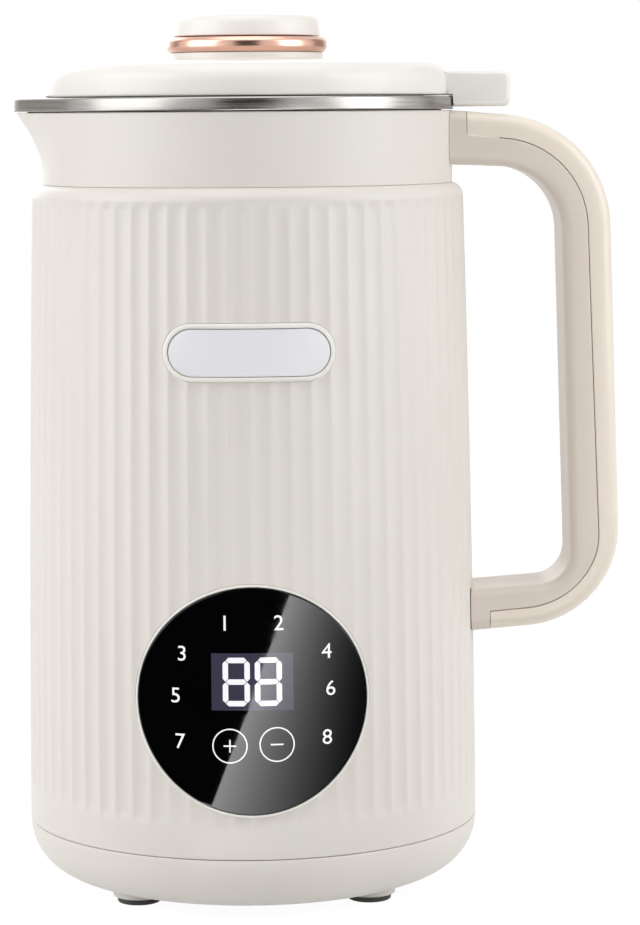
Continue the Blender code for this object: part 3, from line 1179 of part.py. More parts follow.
def build_rotor(parent):
    """Shaft with the core, winding, commutator and fan below and the blades above."""
    bore = SHAFT_RADIUS + GAP
    stub_bore = BLADE_STUB_RADIUS + GAP
    seat_top = BLADE_Z - GAP
    nut_low = BLADE_Z + 2 * (BLADE_THICKNESS + GAP)
    stub_top = nut_low + BLADE_NUT_HEIGHT - BLADE_NUT_CROWN
    seat_low = seat_top - BLADE_SEAT
    turned("rotor_shaft", [(0.0, SHAFT_FOOT_Z), (SHAFT_RADIUS, SHAFT_FOOT_Z), (SHAFT_RADIUS, seat_low),
                           (BLADE_SEAT_RADIUS, seat_low), (BLADE_SEAT_RADIUS, seat_top),
                           (BLADE_STUB_RADIUS, seat_top), (BLADE_STUB_RADIUS, stub_top), (0.0, stub_top)],
           STEEL, parent, TINY_STEPS)

    def slot_tool(name, width, floor, low, high):
        tools = []
        for index in range(CORE_SLOT_COUNT):
            tool = box(f"{name}_{index}", (floor, -width / 2, low), (CORE_RADIUS + OVERRUN, width / 2, high),
                       None, parent)
            tool.rotation_euler.z = math.tau * index / CORE_SLOT_COUNT
            tools.append(tool)
        return tools

    low = STATOR_Z
    high = STATOR_Z + STATOR_HEIGHT
    core = sleeve("rotor_core", bore, CORE_RADIUS, low, high, LAMINATION, parent, SMALL_STEPS)
    for tool in slot_tool("core_slot_tool", CORE_SLOT_WIDTH, CORE_SLOT_RADIUS, low - OVERRUN, high + OVERRUN):
        cut(core, tool)
    end = WINDING_END
    half_bar = CORE_SLOT_WIDTH / 2 - GAP
    winding = sleeve("armature_winding", WINDING_INNER_RADIUS, WINDING_RADIUS, low - end, low - GAP,
                     COPPER, parent)
    add(winding, sleeve("upper_winding_tool", WINDING_INNER_RADIUS, WINDING_RADIUS, high + GAP, high + end,
                        None, parent))
    for index in range(CORE_SLOT_COUNT):
        bar = box(f"winding_bar_tool_{index}", (CORE_SLOT_RADIUS + GAP, -half_bar, low - end / 2),
                  (WINDING_RADIUS - GAP, half_bar, high + end / 2), None, parent)
        bar.rotation_euler.z = math.tau * index / CORE_SLOT_COUNT
        add(winding, bar)
    sleeve("commutator", bore, COMMUTATOR_RADIUS, COMMUTATOR_Z, COMMUTATOR_Z + COMMUTATOR_HEIGHT,
           COPPER, parent)

    blade_top = FAN_Z + FAN_PLATE + FAN_BLADE_HEIGHT
    fan = turned("cooling_fan", [(bore, FAN_Z), (FAN_RADIUS, FAN_Z), (FAN_RADIUS, FAN_Z + FAN_PLATE),
                                 (FAN_HUB_RADIUS, FAN_Z + FAN_PLATE), (FAN_HUB_RADIUS, blade_top),
                                 (bore, blade_top)], BLACK_PLASTIC, parent, ring=True)
    for index in range(FAN_BLADE_COUNT):
        blade = box(f"fan_blade_tool_{index}",
                    (FAN_HUB_RADIUS - FAN_SINK, -FAN_BLADE_WIDTH / 2, FAN_Z + FAN_SINK),
                    (FAN_RADIUS - FAN_SINK, FAN_BLADE_WIDTH / 2, blade_top - FAN_SINK), None, parent)
        blade.rotation_euler.z = math.tau * index / FAN_BLADE_COUNT
        add(fan, blade)

    build_blade("blade_lower", BLADE_Z, -BLADE_DROP, 0.0, parent)
    build_blade("blade_upper", BLADE_Z + BLADE_THICKNESS + GAP, BLADE_LIFT, math.pi / 2, parent)
    nut_top = nut_low + BLADE_NUT_HEIGHT
    shoulder = nut_top - BLADE_NUT_CROWN
    dome = [(BLADE_NUT_RADIUS * x, shoulder + BLADE_NUT_CROWN * y)
            for x, y in arc((0.0, 0.0), 1.0, math.pi / 2, 0.0, 4)]
    turned("blade_nut", [(0.0, nut_top)] + dome[1:] + [(BLADE_NUT_RADIUS, nut_low), (stub_bore, nut_low),
                                                      (stub_bore, stub_top + GAP), (0.0, stub_top + GAP)],
           STAINLESS, parent, TINY_STEPS)


def build_blade(name, z, rise, turn, parent):
    """Blade with two wings, flat at the hub and bent towards its tips."""
    stations = [(-BLADE_RADIUS, rise, BLADE_TIP_HALF_WIDTH), (-BLADE_HUB_RADIUS, 0.0, BLADE_HALF_WIDTH),
                (BLADE_HUB_RADIUS, 0.0, BLADE_HALF_WIDTH), (BLADE_RADIUS, rise, BLADE_TIP_HALF_WIDTH)]
    rings = [[(x, -half, z + lift), (x, half, z + lift), (x, half, z + lift + BLADE_THICKNESS),
              (x, -half, z + lift + BLADE_THICKNESS)] for x, lift, half in stations]
    mesh_data = bmesh.new()
    loft(mesh_data, rings, closed=False)
    blade = make_object(name, mesh_data, STAINLESS, parent, smooth=False)
    blade.rotation_euler.z = turn
    return cut(blade, disc(name + "_bore_tool", BLADE_STUB_RADIUS + GAP, z - OVERRUN,
                           z + BLADE_THICKNESS + OVERRUN, None, parent, TINY_STEPS))


def build_power_board(parent):
    """Power board in the frame's clips and the relay on it."""
    half = BOARD_THICKNESS / 2
    top = FRAME_PLATE_Z - GAP
    box("power_board", (POWER_BOARD_X - half, -POWER_BOARD_WIDTH / 2, top - POWER_BOARD_HEIGHT),
        (POWER_BOARD_X + half, POWER_BOARD_WIDTH / 2, top), BOARD_GREEN, parent)
    depth, width, height = RELAY_SIZE
    face = POWER_BOARD_X - half - GAP
    relay_top = FRAME_PLATE_Z - RELAY_DROP
    box("relay", (face - depth, -width / 2, relay_top - height), (face, width / 2, relay_top),
        RELAY_BLUE, parent)


def build_heater(parent):
    """Plate and tubular heater under the jug's floor, with the thermostat and the sensor."""
    plate_top = JUG_FLOOR_Z - JUG_WALL - GAP
    plate_low = plate_top - HEATER_PLATE
    sleeve("heater_plate", HEATER_PLATE_BORE, HEATER_PLATE_RADIUS, plate_low, plate_top, ALUMINIUM, parent,
           HIDDEN_STEPS)
    height = plate_low - GAP - HEATER_TUBE_RADIUS
    first = math.pi / 2 + HEATER_OPEN_ANGLE / 2
    ring = arc((0.0, 0.0), HEATER_PITCH_RADIUS, first, first + math.tau - HEATER_OPEN_ANGLE, HEATER_STEPS)
    curve = bpy.data.curves.new("heating_ring", "CURVE")
    curve.dimensions = "3D"
    curve.bevel_depth = HEATER_TUBE_RADIUS
    curve.bevel_resolution = 2
    curve.use_fill_caps = True
    spline = curve.splines.new("POLY")
    spline.points.add(len(ring) - 1)
    for point, (x, y) in zip(spline.points, ring):
        point.co = (x, y, height, 1.0)
    heater = bpy.data.objects.new("heating_ring", curve)
    curve.materials.append(make_material("heating_ring", STEEL))
    bpy.context.scene.collection.objects.link(heater)
    heater.parent = parent
    thermostat = disc("thermostat", THERMOSTAT_RADIUS, plate_low - GAP - THERMOSTAT_HEIGHT, plate_low - GAP,
                      BLACK_PLASTIC, parent)
    thermostat.location.y = SENSOR_PITCH_RADIUS
    sensor = disc("temperature_sensor", SENSOR_RADIUS, plate_low - GAP - SENSOR_HEIGHT, plate_low - GAP,
                  STEEL, parent, TINY_STEPS)
    sensor.location.y = -SENSOR_PITCH_RADIUS


def build_seal(parent):
    """Housing that passes the shaft through the jug's floor, its lip seal and its nut."""
    flange_low = JUG_FLOOR_Z + GAP
    flange_top = flange_low + HOUSING_FLANGE
    shoulder_top = flange_top + HOUSING_SHOULDER
    head_top = HOUSING_TOP_Z
    neck_low = flange_low - HOUSING_NECK
    bore = SHAFT_SEAL_RADIUS + GAP
    lip_bore = SHAFT_RADIUS + 2 * GAP
    turned("seal_housing", [(bore, neck_low), (HOUSING_NECK_RADIUS, neck_low),
                            (HOUSING_NECK_RADIUS, flange_low), (HOUSING_FLANGE_RADIUS, flange_low),
                            (HOUSING_FLANGE_RADIUS, flange_top), (HOUSING_SHOULDER_RADIUS, shoulder_top),
                            (HOUSING_HEAD_RADIUS, head_top), (lip_bore, head_top),
                            (lip_bore, head_top - HOUSING_LIP), (bore, head_top - HOUSING_LIP)],
           STAINLESS, parent, ring=True)
    seal_top = head_top - HOUSING_LIP - GAP
    sleeve("shaft_seal", SHAFT_RADIUS + GAP, SHAFT_SEAL_RADIUS, seal_top - SHAFT_SEAL_HEIGHT, seal_top,
           RUBBER, parent)
    nut_top = JUG_FLOOR_Z - JUG_WALL - GAP
    nut = prism("seal_nut", circle(SEAL_NUT_RADIUS, 6), nut_top - SEAL_NUT_HEIGHT, nut_top, STEEL, parent)
    nut.data.shade_flat()
    cut(nut, disc("nut_bore_tool", HOUSING_NECK_RADIUS + GAP, nut_top - SEAL_NUT_HEIGHT - OVERRUN,
                  nut_top + OVERRUN, None, parent))


def build_lid(parent):
    """Lid with its tab and magnet, liner and seal, knob ring and knob cap."""
    side_top = LID_BOTTOM_Z + LID_SIDE
    fillet_centre = (LID_RADIUS - LID_FILLET, side_top)
    top_edge = side_top + LID_FILLET
    crown = top_edge + LID_DOME
    inner = LID_RADIUS - LID_WALL
    inner_fillet = LID_FILLET - LID_WALL
    spigot_top = LID_PEDESTAL_TOP_Z + LID_SPIGOT_HEIGHT
    pocket = LID_SPIGOT_RADIUS - LID_SPIGOT_WALL
    outside = [(0.0, spigot_top), (LID_SPIGOT_RADIUS, spigot_top), (LID_SPIGOT_RADIUS, LID_PEDESTAL_TOP_Z)]
    outside += [(LID_PEDESTAL_RADIUS, LID_PEDESTAL_TOP_Z), (LID_PEDESTAL_RADIUS, crown)]
    outside += arc(fillet_centre, LID_FILLET, math.pi / 2, 0.0, 4) + [(LID_RADIUS, LID_BOTTOM_Z)]
    inside = [(inner, LID_BOTTOM_Z)] + arc(fillet_centre, inner_fillet, 0.0, math.pi / 2, 2)
    inside += [(pocket, top_edge - LID_WALL), (pocket, spigot_top - LID_SPIGOT_WALL)]
    inside += [(0.0, spigot_top - LID_SPIGOT_WALL)]
    lid = turned("lid_cover", outside + inside, LID_WHITE, parent, CIRCLE_STEPS)
    add(lid, tab_tool(parent, inner))
    cut(lid, disc("tab_rim_tool", RIM_RADIUS + TAB_RIM_CLEARANCE, TAB_UNDERSIDE_Z - OVERRUN, LID_BOTTOM_Z,
                  None, parent, CIRCLE_STEPS))
    magnet_low = TAB_UNDERSIDE_Z + MAGNET_INSET
    pocket_tool = disc("magnet_pocket_tool", MAGNET_RADIUS + GAP, TAB_UNDERSIDE_Z - OVERRUN,
                       magnet_low + MAGNET_THICKNESS + GAP, None, parent)
    cut(lid, stand(pocket_tool, MAGNET_X, 0.0))
    magnet = disc("tab_magnet", MAGNET_RADIUS, magnet_low, magnet_low + MAGNET_THICKNESS, MAGNET_GREY, parent)
    magnet.location.x = MAGNET_X

    build_lid_liner(parent, inner - GAP)
    ring_low = LID_PEDESTAL_TOP_Z + GAP
    ring_inner = LID_SPIGOT_RADIUS + GAP
    half = KNOB_RING_HEIGHT / 2
    bulge = arc((KNOB_RING_RADIUS - half, ring_low + half), half, -math.pi / 2, math.pi / 2, 6)
    turned("knob_ring", [(ring_inner, ring_low)] + bulge + [(ring_inner, ring_low + KNOB_RING_HEIGHT)],
           ROSE_GOLD, parent, PANEL_STEPS, ring=True)
    cap_low = ring_low + KNOB_RING_HEIGHT + GAP
    cap_top = cap_low + KNOB_HEIGHT
    rounding = arc((KNOB_RADIUS - KNOB_FILLET, cap_top - KNOB_FILLET), KNOB_FILLET, math.pi / 2, 0.0, 4)
    cap_inner = KNOB_RADIUS - KNOB_WALL
    hollow_top = cap_top - KNOB_WALL
    hollow = [(KNOB_RADIUS, cap_low), (cap_inner, cap_low), (cap_inner, hollow_top), (0.0, hollow_top)]
    turned("knob_cap", [(0.0, cap_top)] + rounding + hollow, LID_WHITE, parent, PANEL_STEPS)


def tab_tool(parent, lid_inside):
    """Block that reaches from the lid's side out over the handle."""
    start = lid_inside + GAP
    middle = ((start + TAB_REACH) / 2, (TAB_UNDERSIDE_Z + TAB_TOP_Z) / 2)
    outline = rounded_rectangle(TAB_REACH - start, TAB_TOP_Z - TAB_UNDERSIDE_Z, TAB_CORNER)
    outline = [(middle[0] + x, middle[1] + z) for x, z in outline]
    return prism("tab_tool", outline, -TAB_WIDTH / 2, TAB_WIDTH / 2, None, parent, "XZ")


def build_lid_liner(parent, flange_radius):
    """Liner that closes the lid from below and plugs the jug, with its ring seal."""
    inside = LINER_RADIUS - SEAL_GROOVE_DEPTH - LINER_WALL
    groove = LINER_RADIUS - SEAL_GROOVE_DEPTH
    groove_top = SEAL_GROOVE_Z + SEAL_GROOVE_HEIGHT
    flange_top = LINER_FLANGE_Z + LINER_FLANGE
    floor_top = LINER_FLOOR_Z + LINER_WALL
    profile = [(0.0, LINER_FLOOR_Z), (LINER_RADIUS, LINER_FLOOR_Z), (LINER_RADIUS, SEAL_GROOVE_Z)]
    profile += [(groove, SEAL_GROOVE_Z), (groove, groove_top), (LINER_RADIUS, groove_top)]
    profile += [(LINER_RADIUS, LINER_FLANGE_Z), (flange_radius, LINER_FLANGE_Z), (flange_radius, flange_top)]
    profile += [(inside, flange_top), (inside, floor_top), (0.0, floor_top)]
    turned("lid_liner", profile, STAINLESS, parent, HIDDEN_STEPS)
    sleeve("lid_seal", groove + GAP, JUG_RADIUS - GAP, SEAL_GROOVE_Z + GAP, groove_top - GAP,
           SILICONE, parent, HIDDEN_STEPS)


def make_axis(name):
    """Empty on the body's axis, which carries the pieces of one moving group."""
    empty = bpy.data.objects.new(name, None)
    empty.location.x = -(HANDLE_REACH - RIM_RADIUS - SPOUT_REACH) / 2
    bpy.context.scene.collection.objects.link(empty)
    return empty


def build_machine():
    """All pieces, on the axes of the body, the rotor and the lid."""
    for item in list(bpy.data.objects):
        bpy.data.objects.remove(item)
    body = make_axis("body_axis")
    build_outer_shell(body)
    build_base_cover(body)
    build_feet(body)
    build_base_screws(body)
    build_upper_collar(body)
    build_inner_jug(body)
    build_handle(body)
    build_handle_screws(body)
    build_reed_switch(body)
    build_panel(body)
    build_badge(body)
    build_inlet(body)
    build_motor_frame(body)
    build_brush_bracket(body)
    build_motor(body)
    build_power_board(body)
    build_heater(body)
    build_seal(body)
    build_rotor(make_axis("rotor_axis"))
    build_lid(make_axis("lid_axis"))


# Sizes that follow from the ones above
COLLAR_TOP_Z = RIM_TOP_Z - RIM_BAND - GAP
LID_BOTTOM_Z = RIM_TOP_Z + GAP
FRONT_REACH = shell_radius(PANEL_Z - BEZEL_RADIUS) + BEZEL_PROUD
UPPER_SCREW_Z = (GRIP_TOP_Z + HANDLE_TOP_Z - COVER_DEPTH_TOP) / 2
LOWER_SCREW_Z = (GRIP_FOOT_Z + HANDLE_FOOT_Z + COVER_DEPTH_LOW) / 2
BRUSH_LOW_Z = COMMUTATOR_Z + (COMMUTATOR_HEIGHT - BRUSH_HEIGHT) / 2
BRUSH_TOP_Z = BRUSH_LOW_Z + BRUSH_HEIGHT
HOUSING_TOP_Z = JUG_FLOOR_Z + GAP + HOUSING_FLANGE + HOUSING_SHOULDER + HOUSING_HEAD
BLADE_Z = HOUSING_TOP_Z + BLADE_CLEARANCE + BLADE_SEAT + GAP
HANDLE_REACH = max(point.x for point, direction in outer_rail(COVER_START_X, COVER_END_X))

build_machine()
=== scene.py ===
"""Looks of an upright soy milk maker: shell, jug, lid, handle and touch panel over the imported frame."""

import json
import math

import bmesh
import bpy
from bpy.props import FloatProperty, FloatVectorProperty, IntProperty, PointerProperty
from mathutils import Euler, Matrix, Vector


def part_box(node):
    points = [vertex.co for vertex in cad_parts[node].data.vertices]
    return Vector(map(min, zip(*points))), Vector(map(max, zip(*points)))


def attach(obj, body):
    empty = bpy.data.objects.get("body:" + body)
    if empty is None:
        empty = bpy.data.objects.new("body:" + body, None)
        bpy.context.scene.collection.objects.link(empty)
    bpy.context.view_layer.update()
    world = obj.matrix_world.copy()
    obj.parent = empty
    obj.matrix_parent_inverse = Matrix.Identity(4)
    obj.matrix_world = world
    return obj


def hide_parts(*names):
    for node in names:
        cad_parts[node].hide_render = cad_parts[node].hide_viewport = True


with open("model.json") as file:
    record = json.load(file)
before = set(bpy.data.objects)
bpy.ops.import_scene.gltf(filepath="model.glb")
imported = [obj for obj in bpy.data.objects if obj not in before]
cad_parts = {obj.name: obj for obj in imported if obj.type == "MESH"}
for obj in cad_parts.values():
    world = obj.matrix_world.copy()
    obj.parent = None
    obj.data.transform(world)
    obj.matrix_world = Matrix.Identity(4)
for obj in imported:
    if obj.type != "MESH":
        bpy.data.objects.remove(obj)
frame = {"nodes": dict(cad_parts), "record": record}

bl_info = {
    "name": "Soy milk maker",
    "version": (1, 0, 0),
    "blender": (4, 5, 0),
    "location": "3D View > Sidebar > Soy milk maker",
    "description": "Builds the visible shells, panel and finishes of a soy milk maker over its solids",
    "category": "Add Mesh",
}

SHELL_LOW, SHELL_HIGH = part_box("outer_shell")
AXIS_X = (SHELL_LOW[0] + SHELL_HIGH[0]) / 2
SHARP = 32.0  # degrees past which an edge stays sharp
TAB_PLAY = 0.0004  # metres between the rim and the hollow of the lid's tab


# Values


def length(label, value, description):
    """Length in metres that a user may change."""
    return FloatProperty(name=label, description=description, default=value, min=0.0, precision=5,
                         subtype="DISTANCE", unit="LENGTH")


def amount(label, value, description, low=0.0, high=1000.0):
    """Plain number that a user may change."""
    return FloatProperty(name=label, description=description, default=value, min=low, max=high, precision=3)


def count(label, value, description):
    """Whole number that a user may change."""
    return IntProperty(name=label, description=description, default=value, min=1)


def tone(label, value, description):
    """Colour given in eight-bit screen values."""
    scaled = [channel / 255 for channel in value]
    return FloatVectorProperty(name=label, description=description, default=scaled, size=3, min=0.0,
                               max=1.0, subtype="COLOR_GAMMA")


def linear(colour, factor=1.0):
    """Screen colour as the light values that a shader reads."""
    parts = [part / 12.92 if part <= 0.04045 else ((part + 0.055) / 1.055) ** 2.4 for part in colour]
    return [part * factor for part in parts] + [1.0]


class SoyMakerBody(bpy.types.PropertyGroup):
    """Fluted shell, base cover and feet."""

    foot_radius: length("Foot radius", 0.0634, "Radius of the shell at the seam")
    top_radius: length("Top radius", 0.0602, "Radius of the shell under the shoulder")
    taper_power: amount("Taper power", 1.5, "How late the shell draws in", 1.0, 4.0)
    seam_height: length("Seam height", 0.0184, "Height of the seam between base cover and shell")
    seam_gap: length("Seam gap", 0.00018, "Open gap of the seam")
    seam_edge: length("Seam edge", 0.00035, "Rounding of the two edges at the seam")
    shoulder_height: length("Shoulder height", 0.1969, "Height of the shell's top")
    shoulder_round: length("Shoulder rounding", 0.0040, "Rounding of the shell's shoulder")
    shoulder_opening: length("Shoulder opening", 0.0556, "Radius of the opening in the shoulder")
    wall: length("Wall", 0.0025, "Wall of the shell behind the flutes")
    rib_count: count("Ribs", 70, "Ribs round the shell")
    rib_depth: length("Rib depth", 0.0005, "Depth of the flutes between the ribs")
    rib_low: length("Rib start", 0.0262, "Height where the flutes begin")
    rib_high: length("Rib end", 0.1936, "Height where the flutes end")
    rib_fade_low: length("Lower fade", 0.0045, "Height over which the flutes begin")
    rib_fade_high: length("Upper fade", 0.0030, "Height over which the flutes end")
    rib_softness: amount("Rib softness", 0.10, "Rounding of the rib crests", 0.01, 1.0)
    base_corner: length("Base corner", 0.0150, "Rounding under the base cover")
    base_low: length("Base underside", 0.0029, "Height of the base cover's underside")
    foot_count: count("Feet", 4, "Rubber feet")
    foot_pitch: length("Foot pitch", 0.0450, "Radius of the circle through the feet")
    foot_boss: length("Foot boss", 0.0072, "Radius of the boss round a foot pad")
    foot_boss_drop: length("Foot boss height", 0.0012, "Height of the boss under the base cover")
    foot_pad: length("Foot pad", 0.0060, "Radius of a foot pad")
    screw_count: count("Base screws", 3, "Screws in the base cover")
    screw_head: length("Screw head", 0.0030, "Radius of a base screw's head")
    vent_count: count("Vents", 8, "Air slots in the base cover")
    vent_start: length("Vent start", 0.0130, "Inner end of an air slot")
    vent_end: length("Vent end", 0.0220, "Outer end of an air slot")
    vent_width: length("Vent width", 0.0028, "Width of an air slot")


class SoyMakerTop(bpy.types.PropertyGroup):
    """Collar, jug, lid and knob."""

    collar_radius: length("Collar radius", 0.0571, "Outer radius of the collar")
    collar_wall: length("Collar wall", 0.0020, "Wall of the collar")
    collar_top: length("Collar top", 0.2167, "Height of the collar's top")
    spout_start: length("Spout start", 0.2010, "Height where the spout begins")
    spout_reach: length("Spout reach", 0.0075, "How far the beak stands out from the rim")
    spout_power: amount("Spout power", 1.6, "How late the spout opens towards the rim", 1.0, 4.0)
    spout_softness: FloatProperty(name="Beak softness", description="Rounding of the beak", unit="ROTATION",
                                  subtype="ANGLE", default=math.radians(3.0))
    rim_radius: length("Rim radius", 0.0575, "Outer radius of the stainless rim")
    rim_top: length("Rim top", 0.2206, "Height of the stainless rim's top")
    rim_band: length("Rim band", 0.0036, "Height of the stainless band that shows")
    jug_radius: length("Jug radius", 0.0520, "Inner radius of the jug")
    jug_wall: length("Jug wall", 0.0008, "Steel of the jug")
    jug_floor: length("Jug floor", 0.0920, "Height of the jug's floor")
    jug_corner: length("Jug corner", 0.0080, "Rounding between the jug's floor and wall")
    lid_radius: length("Lid radius", 0.0560, "Outer radius of the lid")
    lid_low: length("Lid underside", 0.2209, "Height of the lid's lower edge")
    lid_side: length("Lid side", 0.0041, "Straight side of the lid under its rounding")
    lid_round: length("Lid rounding", 0.0052, "Rounding of the lid's upper edge")
    lid_dome: length("Lid dome", 0.0007, "Rise of the lid's top towards the knob")
    pedestal_radius: length("Pedestal radius", 0.0213, "Radius of the base under the knob ring")
    pedestal_top: length("Pedestal top", 0.2329, "Height of the base under the knob ring")
    liner_depth: length("Liner depth", 0.0146, "Depth of the liner's floor under the rim")
    liner_clearance: length("Liner clearance", 0.0025, "Open width between liner and jug")
    tab_reach: length("Tab reach", 0.0727, "Distance of the tab's end from the axis")
    tab_width: length("Tab width", 0.0210, "Width of the tab")
    tab_low: length("Tab underside", 0.2177, "Height of the tab's underside")
    tab_high: length("Tab top", 0.2274, "Height of the tab's top")
    tab_round: length("Tab rounding", 0.0016, "Rounding of the tab's edges")
    ring_radius: length("Ring radius", 0.0224, "Radius of the knob's metal ring")
    ring_low: length("Ring underside", 0.2330, "Height of the ring's underside")
    ring_height: length("Ring height", 0.0041, "Height of the ring")
    knob_radius: length("Knob radius", 0.0205, "Radius of the knob's cap")
    knob_low: length("Knob underside", 0.2374, "Height of the cap's lower edge")
    knob_height: length("Knob height", 0.0062, "Height of the cap")
    knob_round: length("Knob rounding", 0.0028, "Rounding of the cap's upper edge")


class SoyMakerHandle(bpy.types.PropertyGroup):
    """Handle body and its cover."""

    width: length("Width", 0.0260, "Width of the handle")
    edge: length("Edge rounding", 0.0032, "Rounding along the handle's edges")
    seam: length("Seam gap", 0.00018, "Open gap between the handle and its cover")
    tongue: length("Tongue", 0.0008, "Half the height of the tongue that closes the seam inside")
    seam_edge: length("Seam edge", 0.0003, "Rounding of the two edges at the seam")
    root: length("Upper end", 0.0574, "Distance of the upper end from the axis")
    toe: length("Lower end", 0.0623, "Distance of the lower end from the axis")
    top_height: length("Top", 0.2166, "Height of the upper arm's top at its root")
    bend_x: length("Bend distance", 0.0998, "Outer corner of the bend, from the axis")
    bend_height: length("Bend height", 0.2129, "Outer corner of the bend, above the ground")
    bend_round: length("Bend radius", 0.0315, "Outer radius of the bend")
    elbow_x: length("Elbow distance", 0.1040, "Outer corner of the elbow, from the axis")
    elbow_height: length("Elbow height", 0.0745, "Outer corner of the elbow, above the ground")
    elbow_round: length("Elbow radius", 0.0276, "Outer radius of the elbow")
    foot_height: length("Foot", 0.0710, "Height of the lower arm's underside at its root")
    gap_top: length("Gap top", 0.2017, "Height of the finger gap's upper end")
    gap_bend_x: length("Gap bend distance", 0.0865, "Inner corner of the bend, from the axis")
    gap_bend_height: length("Gap bend height", 0.2004, "Inner corner of the bend, above the ground")
    gap_bend_round: length("Gap bend radius", 0.0180, "Inner radius of the bend")
    gap_elbow_x: length("Gap elbow distance", 0.0897, "Inner corner of the elbow, from the axis")
    gap_elbow_height: length("Gap elbow height", 0.0848, "Inner corner of the elbow, above the ground")
    gap_elbow_round: length("Gap elbow radius", 0.0090, "Inner radius of the elbow")
    gap_foot: length("Gap foot", 0.0828, "Height of the lower arm's top at its root")
    cover_start: length("Cover start", 0.0605, "Upper end of the cover, from the axis")
    cover_end: length("Cover end", 0.0668, "Lower end of the cover, from the axis")
    cover_top_depth: length("Cover depth, top", 0.0066, "Depth of the cover along the upper arm")
    cover_low_depth: length("Cover depth, low", 0.0055, "Depth of the cover along the lower arm")


class SoyMakerPanel(bpy.types.PropertyGroup):
    """Touch panel and badge."""

    height: length("Panel height", 0.0614, "Height of the panel's middle")
    bezel_radius: length("Bezel radius", 0.0312, "Outer radius of the bezel")
    bezel_width: length("Bezel width", 0.0006, "Width of the bezel's ring")
    bezel_proud: length("Bezel proud", 0.0008, "How far the bezel stands over the shell")
    glass_proud: length("Glass proud", 0.0005, "How far the glass stands over the shell")
    glass_thickness: length("Glass thickness", 0.0015, "Thickness of the glass")
    ink: length("Ink", 0.00003, "Thickness of the printed marks")
    display_width: length("Display width", 0.0217, "Width of the display's window")
    display_height: length("Display height", 0.0153, "Height of the display's window")
    display_rise: length("Display rise", 0.0054, "Display's middle over the panel's middle")
    figure_width: length("Figure width", 0.0072, "Width of one figure")
    figure_height: length("Figure height", 0.0130, "Height of one figure")
    figure_pitch: length("Figure pitch", 0.0085, "Distance between the two figures")
    bar_width: length("Bar width", 0.00145, "Width of a figure's bars")
    key_radius: length("Key ring radius", 0.0047, "Radius of the ring round a key")
    key_line: length("Key line", 0.00035, "Line width of the rings")
    numeral_height: length("Numeral height", 0.0040, "Height of the plain numerals")
    badge_height: length("Badge height", 0.1538, "Height of the badge's middle")
    badge_length: length("Badge length", 0.0457, "Length of the badge")
    badge_width: length("Badge width", 0.0154, "Width of the badge")
    badge_frame: length("Badge frame", 0.0013, "Width of the badge's frame")
    badge_proud: length("Badge proud", 0.0009, "How far the frame stands over the shell")
    plate_proud: length("Plate proud", 0.0006, "How far the plate stands over the shell")


class SoyMakerColours(bpy.types.PropertyGroup):
    """Colours of the finishes."""

    body: tone("Body", (233, 228, 221), "Shell, base cover and collar")
    trim: tone("Trim", (244, 242, 235), "Bezel and badge frame")
    handle: tone("Handle", (228, 217, 207), "Handle body")
    cover: tone("Handle cover", (243, 232, 218), "Handle cover")
    lid: tone("Lid", (244, 241, 236), "Lid and knob cap")
    badge: tone("Badge plate", (235, 235, 239), "Badge plate")
    glass: tone("Glass", (5, 5, 7), "Panel glass")
    display: tone("Display", (68, 67, 86), "Window of the display")
    # The ink colour is also the colour of the marks' painted glow.
    ink: tone("Ink", (240, 240, 244), "Printed marks")
    rubber: tone("Rubber", (82, 82, 80), "Foot pads and seal")
    silicone: tone("Silicone", (205, 205, 200), "Ring seal of the lid")
    steel: tone("Stainless steel", (172, 170, 166), "Jug, liner and seal housing")
    rose: tone("Rose gold", (226, 182, 164), "Knob ring")
    copper: tone("Copper", (188, 104, 62), "Field coils and winding")
    brass: tone("Brass", (214, 186, 120), "Mains pins")
    board: tone("Board", (26, 92, 48), "Circuit boards")
    relay: tone("Relay", (34, 86, 160), "Relay case")


class SoyMakerBlades(bpy.types.PropertyGroup):
    """Blades and their nut."""

    height: length("Height", 0.1013, "Height of the lower blade's underside at the hub")
    thickness: length("Thickness", 0.0012, "Steel of a blade")
    gap: length("Gap", 0.0003, "Open gap between the pieces on the shaft")
    radius: length("Radius", 0.0270, "Distance of a tip from the axis")
    hub_radius: length("Hub", 0.0080, "Where the wings bend away from the hub")
    hub_half: length("Half width at the hub", 0.0055, "Half the blade's width at the hub")
    tip_half: length("Half width at the tip", 0.0030, "Half the blade's width at its tip")
    grind: length("Ground edge", 0.0022, "Width of the ground edge")
    drop: length("Drop", 0.0035, "How far the lower blade's tips hang down")
    lift: length("Lift", 0.0085, "How far the upper blade's tips stand up")
    bore_radius: length("Bore", 0.0027, "Radius of the bore over the shaft")
    nut_radius: length("Nut radius", 0.0052, "Distance of the nut's corners from the axis")
    nut_height: length("Nut height", 0.0058, "Height of the cap nut")
    nut_crown: length("Nut crown", 0.0020, "Height of the nut's dome")


